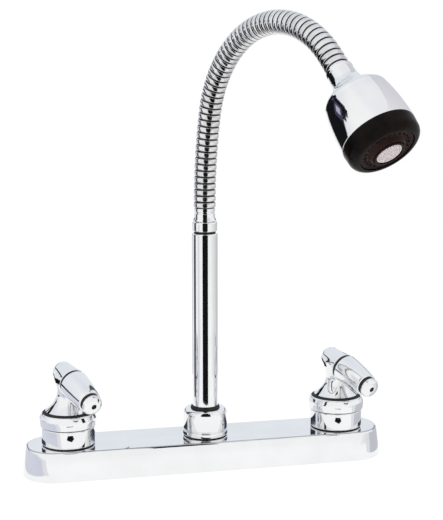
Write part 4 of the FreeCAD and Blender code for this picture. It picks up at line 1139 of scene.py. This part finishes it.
@dataclass
class SprayHead:
    """The chrome bell with its black selector ring, the spray face and the aerator."""

    flange_radius: float = 7.2
    flange_end: float = 1.5
    bell_start: float = 1.8
    bell_radius: float = 8.6
    bell_end_radius: float = 9.8
    bell_end: float = 14.4
    dome_radius: float = 21.2
    dome_end: float = 27.0
    dome_power: float = 1.4
    body_radius: float = 22.6
    body_end_radius: float = 24.2
    body_end: float = 55.4
    wall: float = 2.2
    ring_start: float = 55.8
    ring_end: float = 67.2
    ring_bore: float = 17.9
    ring_round: float = 5.49
    ring_nose: Point2 = (18.33, 61.7)
    face_front: float = 66.6
    face_back: float = 62.8
    hub_radius: float = 12.0
    nozzle_count: int = 24
    nozzle_pitch: float = 14.6
    boss_radius: float = 13.2
    boss_rise: float = 2.6
    aerator_start: float = 62.8
    aerator_stand: float = 3.4
    aerator_radius: float = 10.0
    place: Matrix = field(default_factory=Matrix)

    def __post_init__(self) -> None:
        """Takes the head's place from the CAD model's own joint."""
        joint = next(j for j in frame["joints"] if j["name"] == "head_swivel")
        origin, along = Vector(joint["pos_m"]) / MM, Vector(joint["axis"])
        self.place = facing(origin, along, Vector((along.y, -along.x, 0)))

    def dome(self, inset: float, steps: int = 26) -> list[Corner]:
        """The dome's outline.

        Args:
            inset: how far inside the outer skin it lies.
            steps: points along it.

        Returns:
            Corners from the bell to the body.
        """
        corners = []
        for step in range(steps + 1):
            share = step / steps
            radius = self.bell_end_radius + (self.dome_radius - self.bell_end_radius) * \
                math.sin(math.radians(90 * share)) ** self.dome_power
            corners.append((radius - inset, self.bell_end + (self.dome_end - self.bell_end) * share, 0.0))
        return corners

    def shell(self) -> None:
        """The chrome shell: the bell's lip and neck, the dome and the flared body."""
        flank = self.dome_end + (self.body_end - self.dome_end) * 0.3
        flare = self.body_end - self.dome_end
        body = []
        for step in range(1, 13):
            share = step / 13
            radius = self.dome_radius + (self.body_end_radius - self.dome_radius) * \
                math.sin(math.radians(90 * share)) ** 0.8
            body.append((radius, self.dome_end + flare * share, 0.0))
        corners = [
            (5.7, self.bell_start, 0.0),
            (self.bell_radius + 0.35, self.bell_start, 0.7),
            (self.bell_radius + 0.35, self.bell_start + 2.1, 0.4),
            (self.bell_radius, self.bell_start + 2.6, 0.6),
            (9.05, self.bell_start + 8.8, 6.0),
            *self.dome(0.0)[1:],
            *body,
            (self.body_end_radius, self.body_end, 0.35),
            (self.body_end_radius - self.wall, self.body_end, 0.2),
            (self.body_radius - self.wall, flank, 0.0),
            *reversed(self.dome(self.wall)),
            (7.6, 12.6, 0.0),
            (5.7, 12.6, 0.0),
        ]
        turned_piece("head_bell", corners, CHROME, Body.HEAD, ["head_shell"], self.place, 144)

    def selector(self) -> None:
        """The black ring that turns to change the spray, its front edge well rounded."""
        middle, station = self.ring_nose
        nose = [(middle + self.ring_round * math.cos(a), station + self.ring_round * math.sin(a), 0.0)
                for a in (math.radians(3.6 + 86.4 * k / 14) for k in range(15))]
        # A near-black ring in the gap between the bell and the selector ring: painted shade.
        turned_piece("ring_gap", [
            (20.4, self.body_end - 0.6, 0), (23.3, self.body_end - 0.6, 0), (23.3, self.ring_start + 0.4, 0),
            (20.4, self.ring_start + 0.4, 0),
        ], SEAM_SHADE, Body.SELECTOR, place=self.place)
        turned_piece("selector_grip", [
            (self.ring_bore, self.ring_start, 0.0), (self.body_end_radius, self.ring_start, 0.5), *nose,
            (self.ring_bore + 0.1, self.ring_end, 0.0), (self.ring_bore, self.face_front - 0.4, 0.0),
        ], BLACK_PLASTIC, Body.SELECTOR, ["selector_ring"], self.place, 192)

    def face(self) -> None:
        """The spray face: a shallow dished plate round the aerator, with a bead near its rim."""
        turned_piece("spray_face", [
            (10.2, self.ring_start + 0.3, 0), (self.hub_radius, self.ring_start + 0.3, 0),
            (self.hub_radius, self.face_back, 0.3), (self.ring_bore - 0.1, self.face_back, 0),
            (self.ring_bore - 0.1, self.face_front, 0.5), (16.7, self.face_front, 0.4),
            (16.4, self.face_front - 0.35, 0.3), (self.boss_radius - 0.2, self.face_front - 0.35, 0.8),
            (11.0, self.face_front + self.boss_rise, 0.7),
            (10.2, self.face_front + self.boss_rise - 0.3, 0.3),
        ], BLACK_FACE, Body.SELECTOR, ["face_plate"], self.place)
        draft = Draft()
        for number in range(self.nozzle_count):
            a = 2 * math.pi * number / self.nozzle_count
            spot = self.place @ Matrix.Translation(
                (self.nozzle_pitch * math.cos(a), self.nozzle_pitch * math.sin(a), 0))
            draft.lathe(eased([
                (0.0, self.face_back - 0.6, 0), (0.95, self.face_back - 0.6, 0),
                (0.95, self.face_front - 0.2, 0.2),
                (0.62, self.face_front + 0.35, 0.2), (0.34, self.face_front + 0.35, 0.1),
                (0.30, self.face_front - 0.9, 0), (0.0, self.face_front - 0.9, 0),
            ], closed=False), spot, 24, closed=False)
        low = self.face_back - 1.2
        draft.lathe([(12.7, low), (16.5, low), (16.5, low + 1.1), (12.7, low + 1.1)], self.place, 64)
        draft.piece("spray_nozzles", BLACK_FACE, Body.SELECTOR, ["nozzle_pad"])

    def aerator(self) -> None:
        """The aerator's dark rim and the pale screen of fine openings inside it."""
        front = self.face_front + self.aerator_stand
        turned_piece("aerator_rim", [
            (7.4, self.aerator_start, 0), (self.aerator_radius, self.aerator_start, 0),
            (self.aerator_radius, front, 0.4), (8.8, front, 0.4), (8.5, front - 1.2, 0.2),
            (8.5, front - 2.6, 0), (7.4, front - 2.6, 0),
        ], BLACK_FACE, Body.SELECTOR, ["aerator"], self.place)
        draft = Draft()
        draft.lathe(eased([
            (0.0, front - 1.7, 0), (8.4, front - 1.7, 0.2), (8.4, front - 0.75, 0.3),
            (7.8, front - 0.6, 0.2),
            (7.6, front - 0.8, 0.1), (0.0, front - 0.75, 0),
        ], closed=False), self.place, 96, closed=False)
        for ring, (radius, count) in enumerate(((0.0, 1), (1.8, 6), (3.6, 12), (5.3, 18), (6.9, 24))):
            for number in range(count):
                a = 2 * math.pi * (number + 0.5 * (ring % 2)) / count
                spot = self.place @ Matrix.Translation((radius * math.cos(a), radius * math.sin(a), 0))
                draft.lathe([(0.0, front - 0.95), (0.6, front - 0.95), (0.48, front - 0.55),
                             (0.3, front - 0.55),
                             (0.24, front - 0.72), (0.0, front - 0.72)], spot, 12, closed=False)
        draft.piece("aerator_disc", LIGHT_SCREEN, Body.SELECTOR, ["aerator_screen"])

    def build(self) -> None:
        """Makes every piece of the head."""
        turned_piece("neck_flange", [
            (3.4, -7.0, 0), (5.3, -7.0, 0.4), (5.3, 0.0, 0), (self.flange_radius, 0.0, 0.4),
            (self.flange_radius, self.flange_end, 0.4), (5.5, self.flange_end, 0), (5.5, 12.0, 0.4),
            (3.4, 12.0, 0),
        ], CHROME, Body.NECK, ["neck_nipple"], self.place)
        # A near-black ring between the neck flange and the bell: painted shade in the seam.
        turned_piece("neck_seam", [
            (5.55, 1.45, 0), (6.9, 1.45, 0), (6.9, 1.85, 0), (5.55, 1.85, 0),
        ], SEAM_SHADE, Body.HEAD, place=self.place)
        self.shell()
        self.selector()
        self.face()
        self.aerator()


# ---------------------------------------------------------------------------------------------
# Works that the CAD model shows itself
# ---------------------------------------------------------------------------------------------


@dataclass
class InnerWorks:
    """The CAD nodes that stay as they are: valves, seals, nuts and washers."""

    special: dict[str, Finish] = field(default_factory=lambda: {
        "head_core": WHITE_PLASTIC,
        "deck_gasket": RUBBER,
    })

    def dress(self) -> None:
        """Gives each CAD node the finish of its material slot."""
        slots = {row["node"]: row["material_slot"] for row in frame["record"]["subparts"]}
        for name, node in frame["nodes"].items():
            finish = self.special.get(name) or SLOT_FINISH[slots[name]]
            for holder in node.material_slots:
                holder.material = finish.material()
            LOG.info("%s is finished in %s", name, finish.name)


# ---------------------------------------------------------------------------------------------
# Studio
# ---------------------------------------------------------------------------------------------


@dataclass
class Studio:
    """The white room: floor, lamps, the dark and pale cards that polished metal shows, and the camera."""

    yaw: float = 13.0
    pitch: float = 9.3
    eye: tuple[float, float, float] = (-188.6, -873.5, 298.4)
    lens: float = 86.05
    shift: float = -0.8
    picture_height: int = 520
    mat_level: float = 0.8

    def glow(self, name: str, colour: Shade) -> bpy.types.Material:
        """A card's plain light.

        Args:
            name: the material's name.
            colour: its light.

        Returns:
            The material.
        """
        board = NodeBoard(name)
        light = board.add("ShaderNodeEmission")
        shade = board.ramp(board.noise(3.0, 1.0), tuple(c * 0.94 for c in colour), colour)
        board.join(shade, light.inputs["Color"])
        output = board.add("ShaderNodeOutputMaterial")
        board.join(light.outputs["Emission"], output.inputs["Surface"])
        return board.material

    def card(self, name: str, corners: Sequence[Sequence[float]], colour: Shade) -> None:
        """A card that only polished surfaces see.

        Args:
            name: its name.
            corners: its corners in millimetres.
            colour: its light.
        """
        mesh = bpy.data.meshes.new(name)
        mesh.from_pydata([Vector(c) * MM for c in corners], [], [tuple(range(len(corners)))])
        mesh.materials.append(self.glow(name, colour))
        card = bpy.data.objects.new(name, mesh)
        bpy.context.collection.objects.link(card)
        card.visible_camera = False
        card.visible_diffuse = False
        card.visible_shadow = False
        card.visible_transmission = False
        card.visible_volume_scatter = False

    def upright(self, name: str, centre: Point2, distance: float, turn: Point2, rise: Point2, colour: Shade,
                last: Shade | None = None, steps: int = 6) -> None:
        """A curved upright card round an axis.

        Args:
            name: its name.
            centre: the axis.
            distance: from the axis.
            turn: its first and last direction, degrees from the front towards the cold side.
            rise: its lowest and highest level.
            colour: its light at the first direction.
            last: its light at the last direction, if that differs.
            steps: flat strips that it is made from.
        """
        low, high = rise
        for step in range(steps):
            ends = [math.radians(turn[0] + (turn[1] - turn[0]) * (step + k) / steps) for k in (0, 1)]
            (ax, ay), (bx, by) = (
                (centre[0] + distance * math.sin(a), centre[1] - distance * math.cos(a)) for a in ends)
            self.card(f"{name}_{step}", [(ax, ay, low), (bx, by, low), (bx, by, high), (ax, ay, high)],
                      self.between(colour, last, (step + 0.5) / steps))

    def sector(self, name: str, centre: Corner, radii: Point2, turn: Point2, colour: Shade,
               last: Shade | None = None, steps: int = 6) -> None:
        """A level card, a share of a ring.

        Args:
            name: its name.
            centre: the ring's middle.
            radii: its inner and outer radius.
            turn: its first and last direction, degrees from the front towards the cold side.
            colour: its light at the first direction.
            last: its light at the last direction, if that differs.
            steps: flat pieces that it is made from.
        """
        x, y, level = centre
        for step in range(steps):
            ends = [math.radians(turn[0] + (turn[1] - turn[0]) * (step + k) / steps) for k in (0, 1)]
            near, far = ([(x + r * math.sin(a), y - r * math.cos(a), level) for a in ends] for r in radii)
            self.card(f"{name}_{step}", [near[0], far[0], far[1], near[1]],
                      self.between(colour, last, (step + 0.5) / steps))

    def between(self, colour: Shade, last: Shade | None, share: float) -> Shade:
        """A light between two.

        Args:
            colour: the first.
            last: the second, or None for the first alone.
            share: how far towards the second.

        Returns:
            The light.
        """
        return colour if last is None else tuple(c + (d - c) * share for c, d in zip(colour, last))

    def floor(self) -> None:
        """The pale floor, which keeps the faucet's soft shadow."""
        board = NodeBoard("pale_floor")
        surface = board.add("ShaderNodeBsdfDiffuse")
        board.join(board.ramp(board.noise(2.0, 2.0), (0.93, 0.93, 0.935), (0.95, 0.95, 0.95)),
                   surface.inputs["Color"])
        light = board.add("ShaderNodeEmission")
        light.inputs["Color"].default_value = (1, 1, 1, 1)
        path = board.add("ShaderNodeLightPath")
        seen = board.add("ShaderNodeMath", operation="MAXIMUM")
        board.join(path.outputs["Is Camera Ray"], seen.inputs[0])
        board.join(path.outputs["Is Glossy Ray"], seen.inputs[1])
        also = board.add("ShaderNodeMath", operation="MAXIMUM")
        board.join(seen.outputs[0], also.inputs[0])
        board.join(path.outputs["Is Transmission Ray"], also.inputs[1])
        place = board.add("ShaderNodeTexCoord")
        reach = board.add("ShaderNodeVectorMath", operation="LENGTH")
        board.join(place.outputs["Object"], reach.inputs[0])
        bright = board.ramp(reach.outputs["Value"], (0.9, 0.9, 0.9), (1, 1, 1), 0.25, 0.7)
        share = board.add("ShaderNodeMath", operation="MULTIPLY")
        board.join(bright, share.inputs[1])
        board.join(also.outputs[0], share.inputs[0])
        mix = board.add("ShaderNodeMixShader")
        board.join(share.outputs[0], mix.inputs["Fac"])
        board.join(surface.outputs["BSDF"], mix.inputs[1])
        board.join(light.outputs["Emission"], mix.inputs[2])
        output = board.add("ShaderNodeOutputMaterial")
        board.join(mix.outputs["Shader"], output.inputs["Surface"])
        rings, steps = 24, 96
        mesh = bpy.data.meshes.new("studio_floor")
        points, faces = [(0.0, 0.0, 0.0)], []
        for ring in range(1, rings + 1):
            radius = 6.0 * (ring / rings) ** 2
            points += [
                (radius * math.cos(2 * math.pi * k / steps), radius * math.sin(2 * math.pi * k / steps), 0.0)
                for k in range(steps)]
        for k in range(steps):
            faces.append((0, 1 + k, 1 + (k + 1) % steps))
        for ring in range(rings - 1):
            base = 1 + ring * steps
            for k in range(steps):
                after = (k + 1) % steps
                faces.append((base + k, base + steps + k, base + steps + after, base + after))
        mesh.from_pydata(points, [], faces)
        mesh.materials.append(board.material)
        floor = bpy.data.objects.new("studio_floor", mesh)
        bpy.context.collection.objects.link(floor)

    def world(self) -> None:
        """A white surround, a little dimmer as light on the faucet."""
        world = bpy.data.worlds.new("white_room")
        world.use_nodes = True
        bpy.context.scene.world = world
        tree = world.node_tree
        tree.nodes.clear()
        path = tree.nodes.new("ShaderNodeLightPath")
        seen = tree.nodes.new("ShaderNodeMath")
        seen.operation = "MAXIMUM"
        tree.links.new(path.outputs["Is Camera Ray"], seen.inputs[0])
        tree.links.new(path.outputs["Is Glossy Ray"], seen.inputs[1])
        also = tree.nodes.new("ShaderNodeMath")
        also.operation = "MAXIMUM"
        tree.links.new(seen.outputs[0], also.inputs[0])
        tree.links.new(path.outputs["Is Transmission Ray"], also.inputs[1])
        dim, bright = (tree.nodes.new("ShaderNodeBackground") for _ in range(2))
        dim.inputs["Color"].default_value = (0.9, 0.91, 0.93, 1)
        dim.inputs["Strength"].default_value = 0.62
        place = tree.nodes.new("ShaderNodeTexCoord")
        split = tree.nodes.new("ShaderNodeSeparateXYZ")
        tree.links.new(place.outputs["Generated"], split.inputs["Vector"])
        walls = self.fade(tree, split.outputs["Y"], ((0.0, (1, 1, 1)), (0.45, (0.83, 0.87, 0.92))))
        ceiling = self.fade(tree, split.outputs["Z"], ((0.82, (1, 1, 1)), (0.93, (0.94, 0.94, 0.97))))
        tint = tree.nodes.new("ShaderNodeMix")
        tint.data_type, tint.blend_type = "RGBA", "MULTIPLY"
        tint.inputs["Factor"].default_value = 1.0
        tree.links.new(walls, tint.inputs["A"])
        tree.links.new(ceiling, tint.inputs["B"])
        shown = tree.nodes.new("ShaderNodeMix")
        shown.data_type = "RGBA"
        tree.links.new(path.outputs["Is Camera Ray"], shown.inputs["Factor"])
        tree.links.new(tint.outputs["Result"], shown.inputs["A"])
        shown.inputs["B"].default_value = (1, 1, 1, 1)
        tree.links.new(shown.outputs["Result"], bright.inputs["Color"])
        mix = tree.nodes.new("ShaderNodeMixShader")
        tree.links.new(also.outputs[0], mix.inputs["Fac"])
        tree.links.new(dim.outputs["Background"], mix.inputs[1])
        tree.links.new(bright.outputs["Background"], mix.inputs[2])
        output = tree.nodes.new("ShaderNodeOutputWorld")
        tree.links.new(mix.outputs["Shader"], output.inputs["Surface"])

    def fade(self, tree: bpy.types.NodeTree, source: bpy.types.NodeSocket,
             stops: Sequence[tuple[float, Shade]]) -> bpy.types.NodeSocket:
        """A colour that changes along one direction of the room.

        Args:
            tree: the world's nodes.
            source: the direction's share along the axis.
            stops: places and colours.

        Returns:
            The colour's socket.
        """
        ramp = tree.nodes.new("ShaderNodeValToRGB")
        for element, (position, colour) in zip(ramp.color_ramp.elements, stops):
            element.position, element.color = position, (*colour, 1)
        tree.links.new(source, ramp.inputs["Fac"])
        return ramp.outputs["Color"]

    def lamp(self, name: str, place: Sequence[float], aim: Sequence[float], size: float,
             power: float) -> None:
        """A soft square lamp.

        Args:
            name: its name.
            place: where it hangs, in millimetres.
            aim: what it points at.
            size: its side in metres.
            power: its power in watts.
        """
        data = bpy.data.lights.new(name, "AREA")
        data.shape = "SQUARE"
        data.size = size
        data.energy = power
        lamp = bpy.data.objects.new(name, data)
        lamp.location = Vector(place) * MM
        lamp.rotation_euler = (Vector(aim) - Vector(place)).to_track_quat("-Z", "Y").to_euler()
        lamp.visible_glossy = False
        lamp.visible_camera = False
        bpy.context.collection.objects.link(lamp)

    def cards(self) -> None:
        """The cards that draw the dark and pale lines on the chrome."""
        black, dusk, ink = (0.008, 0.008, 0.009), (0.10, 0.10, 0.11), (0.02, 0.02, 0.035)
        lavender, mist = (0.64, 0.65, 0.76), (0.80, 0.80, 0.85)
        spout, ground = (0.0, 0.0), (0.0, 0.0, 0.6)
        self.card("front_flag", [(-37, -60, 31), (14, -60, 31), (14, -60, 305), (-37, -60, 305)], black)
        self.upright("left_flag", spout, 60, (-95, -118), (36, 300), dusk, steps=3)
        self.sector("left_strip", ground, (262, 3200), (-98, -126), dusk, black)
        self.sector("left_rear", ground, (262, 3200), (-142, -170), lavender, mist, 4)
        self.sector("right_fade", ground, (262, 3200), (48, 140), (0.97, 0.97, 0.97), (0.52, 0.51, 0.50), 12)
        for name, colour, corners in (
                ("left_mat", (0.72, 0.74, 0.84),
                 ((-420, -190), (-150, -50), (-142, 60), (-240, 260), (-420, 260))),
                ("left_mist", (0.86, 0.87, 0.92), ((-420, -330), (-140, -62), (-150, -50), (-420, -190))),
                ("right_mist", (0.84, 0.85, 0.89), ((420, -240), (150, -44), (144, -30), (420, -100))),
                ("right_mat", (0.62, 0.63, 0.68),
                 ((420, -100), (144, -30), (142, 60), (240, 260), (420, 260)))):
            self.card(name, [(x, y, self.mat_level) for x, y in corners], colour)
        self.upright("left_wall", spout, 1500, (-120, -172), (370, 550), ink, steps=8)
        self.upright("right_wall", spout, 1500, (102, 152), (370, 550), (0.05, 0.05, 0.09), steps=8)
        for side, patch in ((Side.HOT, -0.2), (Side.COLD, -5.8)):
            x, word = side.value * 101.6, side.word
            self.card(f"{word}_patch", [(x + patch - 6, -31, 25.4), (x + patch + 2, -31, 23.6),
                                        (x + patch + 6, -31, 26.0), (x + patch + 4, -31, 29.2),
                                        (x + patch - 4, -31, 29.2)], black)
            self.card(f"{word}_dash", [(x + patch - 6, -31, 34.0), (x + patch + 5, -31, 34.4),
                                       (x + patch + 4, -31, 35.5), (x + patch - 5, -31, 35.7)], ink)
            away = -130 if side is Side.HOT else -142
            self.upright(f"{word}_flag", (x, 0), 30, (away + 18, away - 14), (57, 70), black, steps=4)
            self.upright(f"{word}_veil", (x, 0), 54, (34, 74), (66, 175), (0.80, 0.83, 0.87), steps=4)
        head = (66.6, -157.0)
        self.upright("head_flag", head, 75, (-95, -141), (205, 297), black)
        self.upright("head_brow", head, 75, (-89, -95), (272, 297), black, steps=1)
        self.upright("head_temple", head, 75, (-85, -89), (281, 294), black, steps=1)
        self.upright("head_halo", head, 72, (-96, -113), (267, 287), (0.06, 0.055, 0.12), steps=2)
        self.upright("head_spot", head, 70, (-99, -108), (273, 282), (0.48, 0.48, 0.58), steps=2)
        self.upright("head_side", head, 75, (20, 150), (236, 420), (0.97, 0.97, 0.98), (0.66, 0.65, 0.72),
                     16)

    def camera(self) -> None:
        """The camera at the photograph's viewing angle."""
        yaw, pitch = math.radians(self.yaw), math.radians(self.pitch)
        right = Vector((math.cos(yaw), -math.sin(yaw), 0))
        up = Vector((math.sin(yaw) * math.sin(pitch), math.cos(yaw) * math.sin(pitch), math.cos(pitch)))
        back = right.cross(up)
        data = bpy.data.cameras.new("photo_camera")
        data.lens = self.lens
        data.sensor_width = 36.0
        data.shift_x = self.shift / self.picture_height
        data.clip_end = 20.0
        camera = bpy.data.objects.new("photo_camera", data)
        place = Matrix((right, up, back)).transposed().to_4x4()
        place.translation = Vector(self.eye) * MM
        camera.matrix_world = place
        bpy.context.collection.objects.link(camera)
        bpy.context.scene.camera = camera

    def build(self) -> None:
        """Sets up the whole room."""
        self.camera()
        self.world()
        self.floor()
        self.cards()
        self.lamp("key_lamp", (-900, -1100, 1500), (0, 0, 150), 1.2, 26)
        self.lamp("fill_lamp", (1100, -900, 1100), (0, 0, 150), 1.4, 14)
        self.lamp("top_lamp", (0, 300, 1900), (0, 0, 100), 1.6, 16)
        bpy.context.scene.view_settings.view_transform = "Standard"


def main() -> None:
    """Builds the faucet and its room, and reports each piece."""
    logging.basicConfig(level=logging.INFO, format="%(message)s")
    Studio().build()
    InnerWorks().dress()
    DeckPlate().build()
    for side in Side:
        LeverHandle(side).build()
    SpoutBase().build()
    RibbedHose().build()
    SprayHead().build()


if __name__ == "__main__":
    main()
